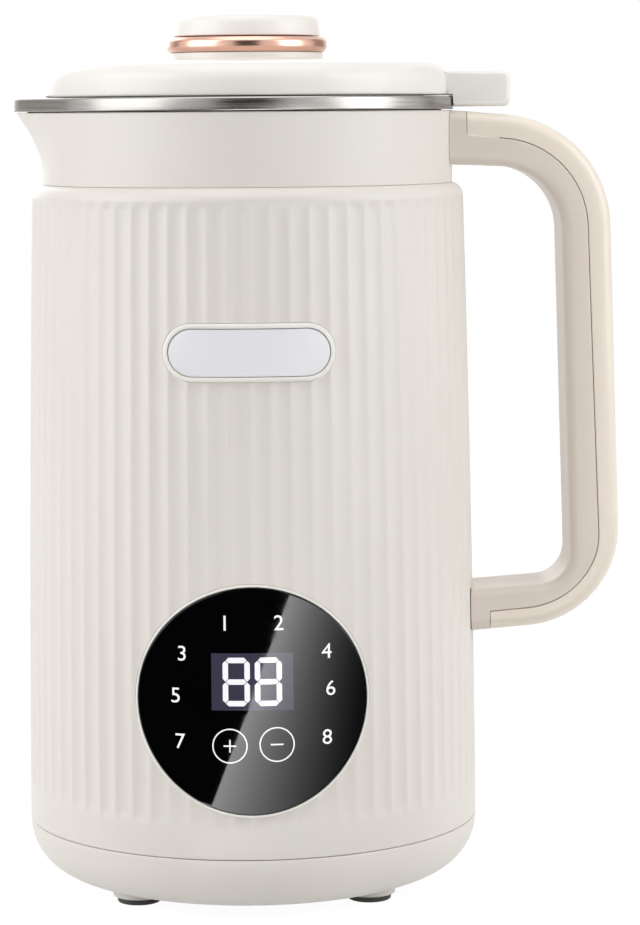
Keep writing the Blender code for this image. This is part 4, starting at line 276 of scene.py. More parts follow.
class SoyMakerStudio(bpy.types.PropertyGroup):
    """Camera and light."""

    distance: length("Camera distance", 0.8698, "Distance of the camera from the axis")
    camera_height: length("Camera height", 0.2162, "Height of the camera")
    side_step: length("Side step", 0.0007, "Camera's step to the right of the axis")
    pitch: amount("Pitch", 6.45, "Degrees that the camera looks down", -90.0, 90.0)
    yaw: amount("Yaw", 1.25, "Degrees that the camera looks to the right", -90.0, 90.0)
    roll: amount("Roll", 0.41, "Degrees that the picture leans", -90.0, 90.0)
    lens: amount("Lens", 120.4, "Focal length in millimetres on a 36 mm sensor")
    room_light: amount("Room light", 0.42, "Strength of the even light of the room")
    left_light: amount("Left light", 4.6, "Power of the soft box on the left, in watts")
    right_light: amount("Right light", 2.0, "Power of the soft box on the right, in watts")
    top_light: amount("Top light", 2.0, "Power of the soft box above, in watts")
    back_light: amount("Back light", 1.8, "Power of the soft box behind, in watts")
    streak_step: FloatProperty(name="Streak step", description="Middle of the glass's slanting reflection",
                               default=-0.001065, precision=5, subtype="DISTANCE", unit="LENGTH")
    streak_slope: amount("Streak slope", 0.3717, "Slope of the glass's slanting reflection", -2.0, 2.0)
    streak_light: amount("Streak light", 6.4, "Strength of the card that the glass reflects")


def sizes():
    """All values of the machine, as set on the scene."""
    return bpy.context.scene.soy_maker


class SoyMakerSizes(bpy.types.PropertyGroup):
    """All values of the machine."""

    body: PointerProperty(type=SoyMakerBody, name="Body")
    top: PointerProperty(type=SoyMakerTop, name="Top")
    handle: PointerProperty(type=SoyMakerHandle, name="Handle")
    panel: PointerProperty(type=SoyMakerPanel, name="Panel")
    blades: PointerProperty(type=SoyMakerBlades, name="Blades")
    colours: PointerProperty(type=SoyMakerColours, name="Colours")
    studio: PointerProperty(type=SoyMakerStudio, name="Studio")


# Shapes


def clamped(value):
    """Value held between zero and one."""
    return min(max(value, 0.0), 1.0)


def spread(first, last, parts):
    """Even values from the first to the last."""
    return [first + (last - first) * part / parts for part in range(parts + 1)]


def swung(x, y, angle):
    """Point turned about the origin of its plane."""
    return (x * math.cos(angle) - y * math.sin(angle), x * math.sin(angle) + y * math.cos(angle))


def arc(centre, radius, first, last, steps):
    """Points of an arc in a plane, angles in radians."""
    return [(centre[0] + radius * math.cos(angle), centre[1] + radius * math.sin(angle))
            for angle in spread(first, last, steps)]


def rounded(corners, closed=False, steps=5):
    """Path through corners of (a, b, rounding); a corner of rounding zero stays sharp."""
    path = []
    for index, (a, b, rounding) in enumerate(corners):
        here = Vector((a, b))
        if rounding <= 0.0 or (not closed and index in (0, len(corners) - 1)):
            path.append((a, b))
            continue
        before = Vector(corners[index - 1][:2])
        after = Vector(corners[(index + 1) % len(corners)][:2])
        back = (before - here).normalized()
        forth = (after - here).normalized()
        half = back.angle(forth) / 2
        reach = rounding / math.tan(half)
        centre = here + (back + forth).normalized() * (rounding / math.sin(half))
        start = here + back * reach - centre
        end = here + forth * reach - centre
        turn = start.angle_signed(end)
        for step in range(steps + 1):
            x, y = swung(start.x, start.y, -turn * step / steps)
            path.append((centre.x + x, centre.y + y))
    return path


def stadium(wide, tall, steps=24, parts=12):
    """Outline with two straight sides and two half-round ends, about its middle."""
    radius = tall / 2
    reach = wide / 2 - radius
    right = arc((reach, 0.0), radius, -math.pi / 2, math.pi / 2, steps)
    left = arc((-reach, 0.0), radius, math.pi / 2, 3 * math.pi / 2, steps)
    spans = [1 - 2 * part / parts for part in range(1, parts)]
    upper = [(reach * span, radius) for span in spans]
    lower = [(-reach * span, -radius) for span in spans]
    return right + upper + left + lower


def oblong(half_x, half_y):
    """Corners of a rectangle about its middle."""
    return [(half_x, half_y), (-half_x, half_y), (-half_x, -half_y), (half_x, -half_y)]


def circle(radius, steps):
    """Closed circle about the middle."""
    return arc((0.0, 0.0), radius, 0.0, math.tau, steps)[:-1]


def shell_radius(z):
    """Radius of the rib crests at a height."""
    body = sizes().body
    share = clamped((z - body.seam_height) / (body.shoulder_height - body.shoulder_round - body.seam_height))
    return body.foot_radius + (body.top_radius - body.foot_radius) * share ** body.taper_power


def on_body(x, z, proud):
    """Point of the front over the shell's crests, for a place seen from the front."""
    radius = shell_radius(z) + proud
    return (AXIS_X + x, -math.sqrt(radius * radius - x * x), z)


def spout_pull(angle, z):
    """Outward push of the wall, from the rim's circle to the beak."""
    top = sizes().top
    half_angle = top.spout_softness + math.acos(top.rim_radius / (top.rim_radius + top.spout_reach))
    from_beak = abs(math.pi - angle % math.tau)
    softened = math.hypot(from_beak, top.spout_softness)
    if softened >= half_angle:
        return 0.0
    share = clamped((z - top.spout_start) / (top.rim_top - top.rim_band - top.spout_start))
    return top.rim_radius * (1.0 / math.cos(half_angle - softened) - 1.0) * share ** top.spout_power


def linked(name, data):
    """New object of the scene."""
    made = bpy.data.objects.new(name, data)
    bpy.context.scene.collection.objects.link(made)
    return made


def finished(name, mesh_data, sharp=SHARP, recalculate=True):
    """Object at the origin from mesh data, smooth but for edges past an angle in degrees."""
    bmesh.ops.remove_doubles(mesh_data, verts=mesh_data.verts, dist=1e-7)
    if recalculate:
        bmesh.ops.recalc_face_normals(mesh_data, faces=mesh_data.faces)
    for face in mesh_data.faces:
        face.smooth = True
    mesh = bpy.data.meshes.new(name)
    mesh_data.to_mesh(mesh)
    mesh_data.free()
    mesh.set_sharp_from_angle(angle=math.radians(sharp))
    return linked(name, mesh)


def band(mesh_data, first, second):
    """Closed band of faces between two rows of corners; a row of one corner is a pole."""
    around = max(len(first), len(second))
    for index in range(around):
        after = (index + 1) % around
        quad = (first[index % len(first)], first[after % len(first)],
                second[after % len(second)], second[index % len(second)])
        corners = list(dict.fromkeys(quad))
        if len(corners) > 2:
            mesh_data.faces.new(corners)


def skin(name, rings, ends="capped", sharp=SHARP):
    """Skin over rings of points; its ends are open, capped or joined to each other."""
    mesh_data = bmesh.new()
    rows = [[mesh_data.verts.new(point) for point in ring] for ring in rings]
    for first, second in zip(rows, rows[1:] + rows[:1] if ends == "joined" else rows[1:]):
        band(mesh_data, first, second)
    if ends == "capped":
        mesh_data.faces.new(rows[0])
        mesh_data.faces.new(rows[-1])
    return finished(name, mesh_data, sharp)


def turned(name, path, steps=192, ends="open", pull=None, sharp=SHARP, centre=AXIS_X):
    """Body turned about an upright axis from (radius, height) points; pull gives its outward push."""
    angles = [math.tau * step / steps for step in range(steps)]
    rings = []
    for radius, z in path:
        reaches = [radius + (pull(angle, z) if pull else 0.0) for angle in angles]
        ring = [(centre + reach * math.cos(angle), reach * math.sin(angle), z)
                for angle, reach in zip(angles, reaches)]
        rings.append(ring if radius > 0.0 else [(centre, 0.0, z)])
    return skin(name, rings, ends, sharp)


def plate(name, outline, height, low, high, rounding=0.0, shares=(0.75, 0.5, 0.25)):
    """Plate that follows the body's front between two distances from its crests, about its middle."""
    rows = [(low, 0.0), (high - rounding, 0.0)]
    if rounding:
        rows += [(high - rounding * (1 - math.sin(turn)), rounding * (1 - math.cos(turn)))
                 for turn in (math.pi / 6, math.pi / 3, math.pi / 2)]
    reach = max(math.hypot(x, z) for x, z in outline)
    scales = [(proud, 1 - inset / reach) for proud, inset in rows]
    scales += [(high, (1 - rounding / reach) * share) for share in shares]
    rings = [[on_body(x * scale, height + z * scale, proud) for x, z in outline] for proud, scale in scales]
    return skin(name, [[on_body(0.0, height, low)], *rings, [on_body(0.0, height, high)]], "open")


def frame_ring(name, outline_at, height, path):
    """Frame that follows the body's front; path gives (inset from the outline, distance from the crests)."""
    rings = [[on_body(x, height + z, proud) for x, z in outline_at(inset)] for inset, proud in path]
    return skin(name, rings, "joined")


def settled(piece, body, slot, *nodes, finish=None):
    """Gives a piece its finish, its moving body and the solids that it stands for."""
    if not piece.data.materials:
        piece.data.materials.append(finishes()[finish or slot])
    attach(piece, body)
    if nodes:
        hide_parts(*nodes)


def baked(piece):
    """Turns the evaluated piece into a plain mesh and drops its modifiers."""
    evaluated = piece.evaluated_get(bpy.context.evaluated_depsgraph_get())
    mesh = bpy.data.meshes.new_from_object(evaluated)
    piece.modifiers.clear()
    piece.data = mesh
    mesh.name = piece.name


def carved(piece, cutter, sharp=SHARP):
    """Cuts a tool's space out of a piece and removes the tool."""
    modifier = piece.modifiers.new("Cut", "BOOLEAN")
    modifier.operation = "DIFFERENCE"
    modifier.solver = "EXACT"
    modifier.object = cutter
    bpy.context.view_layer.update()
    baked(piece)
    bpy.data.objects.remove(cutter)
    piece.data.set_sharp_from_angle(angle=math.radians(sharp))
    return piece


# Rules for what repeats


def new_node(tree, kind, inputs=None, **settings):
    """Node with its settings, whose inputs get plain values or other nodes' outputs."""
    made = tree.nodes.new(kind)
    for key, value in settings.items():
        setattr(made, key, value)
    for key, value in (inputs or {}).items():
        if isinstance(value, bpy.types.NodeSocket):
            tree.links.new(value, made.inputs[key])
        else:
            made.inputs[key].default_value = value
    return made


class Rule:
    """Geometry Nodes tree with named inputs, run on one piece and baked."""

    def __init__(self, name, values, slot):
        self.tree = bpy.data.node_groups.new(name, "GeometryNodeTree")
        face = self.tree.interface
        face.new_socket("Geometry", in_out="INPUT", socket_type="NodeSocketGeometry")
        self.values = {}
        for label, value in (values | {"Material": finishes()[slot]}).items():
            kind = {int: "NodeSocketInt", float: "NodeSocketFloat"}.get(type(value), "NodeSocketMaterial")
            socket = face.new_socket(label, in_out="INPUT", socket_type=kind)
            self.values[socket.identifier] = value
        face.new_socket("Geometry", in_out="OUTPUT", socket_type="NodeSocketGeometry")
        self.given = self.node("NodeGroupInput").outputs

    def node(self, kind, inputs=None, **settings):
        """New node of the tree."""
        return new_node(self.tree, kind, inputs, **settings)

    def math(self, operation, *values):
        """Result of a math node."""
        return self.node("ShaderNodeMath", dict(enumerate(values)), operation=operation).outputs[0]

    def smooth_step(self, value, low, high):
        """Soft change from zero to one between two values."""
        inputs = {"Value": value, "From Min": low, "From Max": high}
        return self.node("ShaderNodeMapRange", inputs, interpolation_type="SMOOTHSTEP").outputs["Result"]

    def vector(self, *values):
        """Vector from three values."""
        return self.node("ShaderNodeCombineXYZ", dict(enumerate(values))).outputs[0]

    def run(self, piece, geometry):
        """Ends the tree, runs it on the piece and bakes the result."""
        whole = self.node("GeometryNodeRealizeInstances", {"Geometry": geometry}).outputs[0]
        coat = self.node("GeometryNodeSetMaterial", {"Geometry": whole, "Material": self.given["Material"]})
        self.node("NodeGroupOutput", {"Geometry": coat.outputs["Geometry"]})
        modifier = piece.modifiers.new(self.tree.name, "NODES")
        modifier.node_group = self.tree
        for identifier, value in self.values.items():
            modifier[identifier] = value
        bpy.context.view_layer.update()
        baked(piece)


def flute(piece):
    """Presses the flutes into the outer skin of the turned shell."""
    body = sizes().body
    rule = Rule("Flutes", {
        "Axis": AXIS_X, "Ribs": float(body.rib_count), "Depth": body.rib_depth, "Softness": body.rib_softness,
        "Low": body.rib_low, "High": body.rib_high, "Lower fade": body.rib_fade_low,
        "Upper fade": body.rib_fade_high, "Skin": body.top_radius - body.wall / 2,
    }, "body_cream")
    given = rule.given
    place = rule.node("GeometryNodeInputPosition").outputs[0]
    across, y, z = rule.node("ShaderNodeSeparateXYZ", {0: place}).outputs
    x = rule.math("SUBTRACT", across, given["Axis"])
    radius = rule.math("SQRT", rule.math("ADD", rule.math("MULTIPLY", x, x), rule.math("MULTIPLY", y, y)))
    angle = rule.math("ADD", rule.math("ARCTAN2", y, x), math.pi / 2)
    turn = rule.math("DIVIDE", rule.math("MULTIPLY", angle, given["Ribs"]), math.tau)
    phase = rule.math("SUBTRACT", rule.math("FRACT", rule.math("ADD", turn, 0.5)), 0.5)
    from_crest = rule.math("MULTIPLY", phase, 2.0)
    soft = given["Softness"]
    soft_square = rule.math("MULTIPLY", soft, soft)
    softened = rule.math("SQRT", rule.math("ADD", rule.math("MULTIPLY", from_crest, from_crest), soft_square))
    whole = rule.math("SUBTRACT", rule.math("SQRT", rule.math("ADD", soft_square, 1.0)), soft)
    share = rule.math("DIVIDE", rule.math("SUBTRACT", softened, soft), whole)
    rest = rule.math("SUBTRACT", 1.0, share)
    hollow = rule.math("SUBTRACT", 1.0, rule.math("MULTIPLY", rest, rest))
    low_end = rule.math("ADD", given["Low"], given["Lower fade"])
    high_start = rule.math("SUBTRACT", given["High"], given["Upper fade"])
    rise = rule.smooth_step(z, given["Low"], low_end)
    fall = rule.math("SUBTRACT", 1.0, rule.smooth_step(z, high_start, given["High"]))
    outside = rule.math("GREATER_THAN", radius, given["Skin"])
    push = rule.math("MULTIPLY", rule.math("MULTIPLY", hollow, given["Depth"]),
                     rule.math("MULTIPLY", rule.math("MULTIPLY", rise, fall), outside))
    inward = rule.math("DIVIDE", rule.math("MULTIPLY", push, -1.0), radius)
    offset = rule.vector(rule.math("MULTIPLY", x, inward), rule.math("MULTIPLY", y, inward), 0.0)
    move = rule.node("GeometryNodeSetPosition", {"Geometry": given["Geometry"], "Offset": offset})
    rule.run(piece, move.outputs["Geometry"])


def round_the_axis(piece, name, number, pitch, first_angle, slot):
    """Repeats a piece that was made at the origin on a circle about the machine's axis."""
    rule = Rule(name, {"Count": number, "Pitch": pitch, "First angle": first_angle, "Axis": AXIS_X}, slot)
    given = rule.given
    ring = rule.node("GeometryNodeMeshCircle", {"Vertices": given["Count"], "Radius": given["Pitch"]})
    turn = rule.node("GeometryNodeTransform", {
        "Geometry": ring.outputs[0], "Rotation": rule.vector(0.0, 0.0, given["First angle"]),
        "Translation": rule.vector(given["Axis"], 0.0, 0.0),
    })
    index = rule.node("GeometryNodeInputIndex").outputs[0]
    step = rule.math("DIVIDE", rule.math("MULTIPLY", index, math.tau), given["Count"])
    copies = rule.node("GeometryNodeInstanceOnPoints", {
        "Points": turn.outputs["Geometry"], "Instance": given["Geometry"],
        "Rotation": rule.vector(0.0, 0.0, rule.math("ADD", step, given["First angle"])),
    })
    rule.run(piece, copies.outputs["Instances"])


# Finishes


class Finish:
    """Material whose colour, roughness and relief come from its nodes."""

    def __init__(self, name, **shine):
        self.material = bpy.data.materials.new(name)
        self.material.use_nodes = True
        self.tree = self.material.node_tree
        self.shader = self.tree.nodes["Principled BSDF"].inputs
        for label, value in shine.items():
            self.shader[label.replace("_", " ")].default_value = value
        self.place = self.result("Object", "ShaderNodeTexCoord")

    def result(self, output, kind, inputs=None, **settings):
        """Output of a new node."""
        return new_node(self.tree, kind, inputs, **settings).outputs[output]

    def stretched(self, scale, turn=(0.0, 0.0, 0.0)):
        """Coordinates scaled along the three axes."""
        inputs = {"Vector": self.place, "Scale": scale, "Rotation": turn}
        return self.result("Vector", "ShaderNodeMapping", inputs)

    def noise(self, scale, detail=2.0, place=None):
        """Noise of a scale per metre."""
        inputs = {"Vector": place or self.place, "Scale": scale, "Detail": detail}
        return self.result("Fac", "ShaderNodeTexNoise", inputs)

    def bands(self, scale, direction="Z", distortion=0.0):
        """Even bands across one axis."""
        inputs = {"Vector": self.place, "Scale": scale, "Distortion": distortion}
        return self.result("Fac", "ShaderNodeTexWave", inputs, bands_direction=direction)

    def colour(self, value, first, second, start=0.3, end=0.7):
        """Base colour that goes between two tones."""
        ramp = new_node(self.tree, "ShaderNodeValToRGB", {"Fac": value})
        for stop, place, shade in zip(ramp.color_ramp.elements, (start, end), (first, second)):
            stop.position = place
            stop.color = shade
        self.tree.links.new(ramp.outputs["Color"], self.shader["Base Color"])

    def roughness(self, value, low, high, start=0.3, end=0.7):
        """Roughness that goes between two values."""
        inputs = {"Value": value, "From Min": start, "From Max": end, "To Min": low, "To Max": high}
        self.tree.links.new(self.result("Result", "ShaderNodeMapRange", inputs), self.shader["Roughness"])

    def relief(self, value, strength, depth):
        """Fine relief of the surface."""
        inputs = {"Height": value, "Strength": strength, "Distance": depth}
        self.tree.links.new(self.result("Normal", "ShaderNodeBump", inputs), self.shader["Normal"])


def moulded(name, colour, low, high, grain=2600.0, depth=0.000012, shade=0.965, **shine):
    """Moulded plastic with a fine grain, soft flow tones and slightly uneven gloss."""
    made = Finish(name, **shine)
    flow = made.noise(scale=38.0, detail=3.0, place=made.stretched((1.0, 1.0, 0.35)))
    made.colour(flow, linear(colour, shade), linear(colour))
    fine = made.noise(grain, detail=3.0)
    made.roughness(fine, low, high)
    made.relief(fine, strength=0.35, depth=depth)
    return made.material


def brushed(name, colour, low, high, stretch, scale=900.0, depth=0.00001, shade=0.82):
    """Metal with fine lines along the axis that isn't stretched."""
    made = Finish(name, Metallic=1.0)
    lines = made.noise(scale, detail=4.0, place=made.stretched(stretch))
    made.colour(lines, linear(colour, shade), linear(colour))
    made.roughness(lines, low, high)
    made.relief(lines, strength=0.25, depth=depth)
    return made.material


def banded(name, first, second, low, high, scale, direction, depth):
    """Stacked or wound metal with even bands."""
    made = Finish(name, Metallic=1.0)
    rows = made.bands(scale, direction, distortion=0.4)
    made.colour(rows, first, second, start=0.1, end=0.6)
    made.roughness(made.noise(scale=700.0), low, high)
    made.relief(rows, strength=0.6, depth=depth)
    return made.material


def circuit_board(name, colour):
    """Lacquered board with faint traces under the lacquer."""
    made = Finish(name, Coat_Weight=0.3, Coat_Roughness=0.2)
    upright = made.stretched((1.0, 1.0, 1.0), turn=(math.pi / 2, 0.0, 0.0))
    inputs = {"Vector": upright, "Scale": 160.0, "Mortar Size": 0.04}
    traces = made.result("Fac", "ShaderNodeTexBrick", inputs)
    made.colour(traces, linear(colour), linear(colour, 1.8), start=0.2, end=0.9)
    made.roughness(made.noise(scale=900.0), 0.35, 0.5)
    return made.material


def smooth(name, colour, low, high, shade, scales, detail=2.0, **shine):
    """Smooth layer of the panel with a trace of unevenness; scales are those of its tone and its gloss."""
    made = Finish(name, **shine)
    made.colour(made.noise(scales[0]), linear(colour, shade), linear(colour))
    made.roughness(made.noise(scales[1], detail), low, high)
    return made.material


def finishes():
    """Finish of each material slot, made once."""
    ready = {material.name: material for material in bpy.data.materials if material.get("soy_maker")}
    if ready:
        return ready
    for material in list(bpy.data.materials):
        material.name = material.name + "_solid"
    tones = sizes().colours
    grey = (0.5, 0.5, 0.5)
    display = Finish("panel_display")
    stripes = display.bands(scale=900.0, direction="X")
    display.colour(stripes, linear(tones.display, 0.85), linear(tones.display, 1.1), start=0.0, end=1.0)
    display.roughness(display.noise(scale=900.0), 0.03, 0.06)
    made = [
        moulded("body_cream", tones.body, 0.38, 0.50, Coat_Weight=0.12, Coat_Roughness=0.25),
        moulded("trim_cream", tones.trim, 0.30, 0.42, grain=3200.0, depth=0.000006),
        moulded("handle_body_cream", tones.handle, 0.34, 0.46),
        moulded("handle_cover_cream", tones.cover, 0.28, 0.38, depth=0.000008, Coat_Weight=0.15,
                Coat_Roughness=0.2),
        moulded("lid_white", tones.lid, 0.28, 0.38, depth=0.000005, shade=0.985, Coat_Weight=0.2,
                Coat_Roughness=0.2),
        moulded("foot_rubber", tones.rubber, 0.7, 0.9, grain=1800.0, depth=0.00003, shade=0.75),
        moulded("silicone", tones.silicone, 0.5, 0.65, grain=2000.0),
        moulded("black_plastic", (0.18, 0.18, 0.185), 0.4, 0.6, depth=0.00003, shade=0.8),
        moulded("grey_plastic", (0.58, 0.58, 0.58), 0.45, 0.6, depth=0.00003, shade=0.88),
        moulded("relay_blue", tones.relay, 0.35, 0.5, shade=0.9),
        moulded("graphite", (0.24, 0.24, 0.25), 0.45, 0.7, grain=1500.0, depth=0.00003, shade=0.6),
        moulded("badge_silver", tones.badge, 0.55, 0.68, depth=0.000004, shade=0.98, Metallic=0.12),
        brushed("stainless", tones.steel, 0.22, 0.34, (0.04, 0.04, 2.0), shade=0.86),
        brushed("rose_gold", tones.rose, 0.2, 0.28, (0.1, 0.1, 3.0), shade=0.93, depth=0.000003),
        brushed("plain_steel", (0.70, 0.70, 0.70), 0.25, 0.42, (1.0, 1.0, 0.2), shade=0.75),
        brushed("magnet_grey", (0.62, 0.62, 0.63), 0.2, 0.35, (1.0, 1.0, 1.0), shade=0.8),
        brushed("cast_aluminium", (0.80, 0.80, 0.81), 0.4, 0.6, (1.0, 1.0, 1.0), scale=500.0, depth=0.00008,
                shade=0.8),
        brushed("pin_brass", tones.brass, 0.2, 0.35, (2.0, 0.1, 2.0), shade=0.85),
        banded("lamination", linear(grey, 0.5), linear(grey, 1.1), 0.4, 0.55, 620.0, "Z", 0.00006),
        banded("copper", linear(tones.copper, 0.45), linear(tones.copper), 0.28, 0.4, 480.0, "DIAGONAL",
               0.0001),
        circuit_board("board_green", tones.board),
        smooth("black_glass", tones.glass, 0.02, 0.05, shade=0.8, scales=(60.0, 420.0), detail=4.0),
        # The printed figures and marks glow faintly through their emission: a painted glow, since no lamp
        # lights the print.
        smooth("panel_ink", tones.ink, 0.03, 0.06, shade=0.93, scales=(1500.0, 900.0), Emission_Strength=0.35,
               Emission_Color=linear(tones.ink)),
        display.material,
    ]
    for material in made:
        material["soy_maker"] = True
    return {material.name: material for material in made}


# Pieces


class SOYMAKER_OT_outer_shell(bpy.types.Operator):
    """Fluted outer shell with its openings for the panel, the badge and the mains inlet"""

    bl_idname = "soymaker.outer_shell"
    bl_label = "Outer shell"

    def execute(self, context):
        body, panel = sizes().body, sizes().panel
        low, high = body.seam_height + body.seam_gap, body.shoulder_height
        corner, edge, wall = body.shoulder_round, body.seam_edge, body.wall
        over_edge, lip, inside, play, inlet_corner = 0.003, 0.0022, 0.10, 0.0001, 0.0032
        steps_per_rib, front_wall, back_wall = 14, (-0.080, -0.035), (0.045, 0.080)
        pocket_floor, past_frame, fade_parts, straight_parts = -0.0009, 0.002, 6, 12
        straight_low = body.rib_low + body.rib_fade_low
        straight_high = body.rib_high - body.rib_fade_high
        levels = [low + over_edge]
        levels += [body.rib_low + body.rib_fade_low * part / fade_parts for part in range(fade_parts + 1)]
        levels += spread(straight_low, straight_high, straight_parts)[1:-1]
        levels += [straight_high + body.rib_fade_high * part / fade_parts for part in range(fade_parts)]
        path = [(shell_radius(low) - wall, low)]
        path += arc((shell_radius(low) - edge, low + edge), edge, -math.pi / 2, 0.0, 4)
        path += [(shell_radius(z), z) for z in levels]
        path += arc((body.top_radius - corner, high - corner), corner, 0.0, math.pi / 2, 10)
        path += [(body.shoulder_opening, high), (body.shoulder_opening, high - lip)]
        path += [(shell_radius(high) - wall, high - lip), (shell_radius(inside) - wall, inside)]
        shell = turned("shell_fluted", path, steps=body.rib_count * steps_per_rib, ends="joined")
        flute(shell)
        opening = circle(panel.bezel_radius + play, 128)
        self.opened(shell, "hole_tool", opening, (AXIS_X, panel.height), front_wall)
        outline = stadium(panel.badge_length + 2 * play, panel.badge_width + 2 * play)
        carved(shell, plate("pocket_tool", outline, panel.badge_height, pocket_floor, past_frame))
        inlet_low, inlet_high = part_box("inlet_socket")
        middle = ((inlet_low[0] + inlet_high[0]) / 2, (inlet_low[2] + inlet_high[2]) / 2)
        corners = oblong((inlet_high[0] - inlet_low[0]) / 2 + play, (inlet_high[2] - inlet_low[2]) / 2 + play)
        opening = rounded([(x, z, inlet_corner) for x, z in corners], closed=True)
        self.opened(shell, "inlet_tool", opening, middle, back_wall)
        settled(shell, "body", "body_cream", "outer_shell")
        return {"FINISHED"}

    def opened(self, shell, name, outline, middle, depths):
        """Cuts an opening through the wall between two depths."""
        rings = [[(middle[0] + x, y, middle[1] + z) for x, z in outline] for y in depths]
        carved(shell, skin(name, rings))


class SOYMAKER_OT_base_cover(bpy.types.Operator):
    """Base cover with foot bosses, air slots and screw holes"""

    bl_idname = "soymaker.base_cover"
    bl_label = "Base cover"

    def execute(self, context):
        body = sizes().body
        low, seam, corner, edge = body.base_low, body.seam_height, body.base_corner, body.seam_edge
        radius, wall, inner_end = body.foot_radius, 0.0022, -0.35
        rebate, spigot, tall, under = radius - 0.0025, radius - 0.0042, seam + 0.0024, seam - 0.002
        path = [(0.0, low)]
        path += arc((radius - corner, low + corner), corner, -math.pi / 2, 0.0, 24)
        path[-1] = (radius, seam - edge)
        path += arc((radius - edge, seam - edge), edge, 0.0, math.pi / 2, 4)[1:]
        path += [(rebate, seam), (rebate, tall), (spigot, tall), (spigot, under)]
        path += arc((radius - corner, low + corner), corner - wall, inner_end, -math.pi / 2, 8)
        path += [(0.0, low + wall)]
        cover = turned("base_cover_shell", path)
        half, past = body.vent_width / 2, 0.002
        middle = (body.vent_start + body.vent_end) / 2
        rounding = half * 0.98
        corners = [(x, y, rounding) for x, y in oblong((body.vent_end - body.vent_start) / 2, half)]
        outline = rounded(corners, closed=True)
        slot = skin("vent_tool", [[(x, y, z) for x, y in outline] for z in (low - past, low + wall + past)])
        round_the_axis(slot, "Air slots", body.vent_count, middle, 0.0, "body_cream")
        carved(cover, slot)
        wide, narrow = body.screw_head + 0.0003, 0.0017
        start, seat, end = low - 0.001, low + 0.0016, low + 0.004
        hole = turned("screw_hole_tool", [(0.0, start), (wide, start), (wide, seat), (narrow, seat),
                                          (narrow, end), (0.0, end)], steps=24, centre=0.0)
        angle, pitch = screw_place()
        round_the_axis(hole, "Screw holes", body.screw_count, pitch, angle, "body_cream")
        carved(cover, hole)
        settled(cover, "body", "body_cream", "base_cover")
        inner, outer = body.foot_pad + 0.0002, body.foot_boss
        foot, top = low - body.foot_boss_drop, low + 0.0008
        path = rounded([(inner, low, 0.0), (inner, foot, 0.0002), (outer, foot, 0.0005), (outer, top, 0.0)],
                       steps=4)
        boss = turned("foot_bosses", path, steps=48, ends="joined", centre=0.0)
        round_the_axis(boss, "Foot bosses", body.foot_count, body.foot_pitch, math.pi / body.foot_count,
                       "body_cream")
        settled(boss, "body", "body_cream")
        return {"FINISHED"}


def screw_place():
    """First angle and pitch of the base screws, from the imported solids."""
    low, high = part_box("base_screw_1")
    x, y = (low[0] + high[0]) / 2 - AXIS_X, (low[1] + high[1]) / 2
    return math.atan2(y, x), math.hypot(x, y)


class SOYMAKER_OT_feet(bpy.types.Operator):
    """Rubber foot pads and the screws of the base cover"""

    bl_idname = "soymaker.feet"
    bl_label = "Feet and base screws"

    def execute(self, context):
        body = sizes().body
        radius, top, groove = body.foot_pad, body.base_low - 0.0002, 0.0004
        tread = [(0.0, groove), (0.0012, groove), (0.0018, 0.0), (0.0028, 0.0), (0.0032, groove),
                 (0.0038, groove), (0.0042, 0.0)]
        corners = [(reach, z, 0.0) for reach, z in tread]
        corners += [(radius, 0.0, 0.0005), (radius, top, 0.0), (0.0, top, 0.0)]
        pad = turned("foot_pads", rounded(corners, steps=4), steps=40, centre=0.0)
        round_the_axis(pad, "Foot pads", body.foot_count, body.foot_pitch, math.pi / body.foot_count,
                       "foot_rubber")
        settled(pad, "body", "foot_rubber", *[f"foot_pad_{index + 1}" for index in range(body.foot_count)])
        low, high = body.base_low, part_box("base_screw_1")[1][2]
        head, shank, under, point = body.screw_head, 0.0015, low + 0.0015, high - 0.001
        corners = [(0.0, low, 0.0), (head, low, 0.0007), (head, under, 0.0), (shank, under, 0.0),
                   (shank, point, 0.0), (0.0, high, 0.0)]
        screw = turned("base_screws", rounded(corners, steps=4), steps=32, centre=0.0)
        arm, half, depths = 0.0017, 0.0003, (low - 0.001, low + 0.0008)
        for turn in (0.0, math.pi / 2):
            cross = [[(*swung(x, y, turn), z) for x, y in oblong(arm, half)] for z in depths]
            carved(screw, skin("cross_tool", cross))
        angle, pitch = screw_place()
        round_the_axis(screw, "Base screws", body.screw_count, pitch, angle, "plain_steel")
        settled(screw, "body", "plain_steel", "base_screw_1", "base_screw_2", "base_screw_3")
        return {"FINISHED"}


class SOYMAKER_OT_collar(bpy.types.Operator):
    """Smooth collar under the rim, with the outer skin of the spout"""

    bl_idname = "soymaker.collar"
    bl_label = "Collar and spout"

    def execute(self, context):
        body, top = sizes().body, sizes().top
        radius, high, edge = top.collar_radius, top.collar_top, 0.0003
        low = body.shoulder_height
        spigot, spigot_wall, foot = body.shoulder_opening - 0.0003, 0.0019, low - 0.007
        levels = spread(top.spout_start, high, 20)
        path = [(spigot, foot), (spigot, low), (radius, low)]
        path += [(radius, z) for z in levels[:-1]]
        path += [(radius, high - edge), (radius - edge, high)]
        path += [(radius - top.collar_wall, z) for z in levels[::-2]]
        path += [(spigot - spigot_wall, foot)]
        collar = turned("collar_and_spout", path, steps=288, ends="joined", pull=spout_pull)
        settled(collar, "body", "body_cream", "upper_collar")
        return {"FINISHED"}


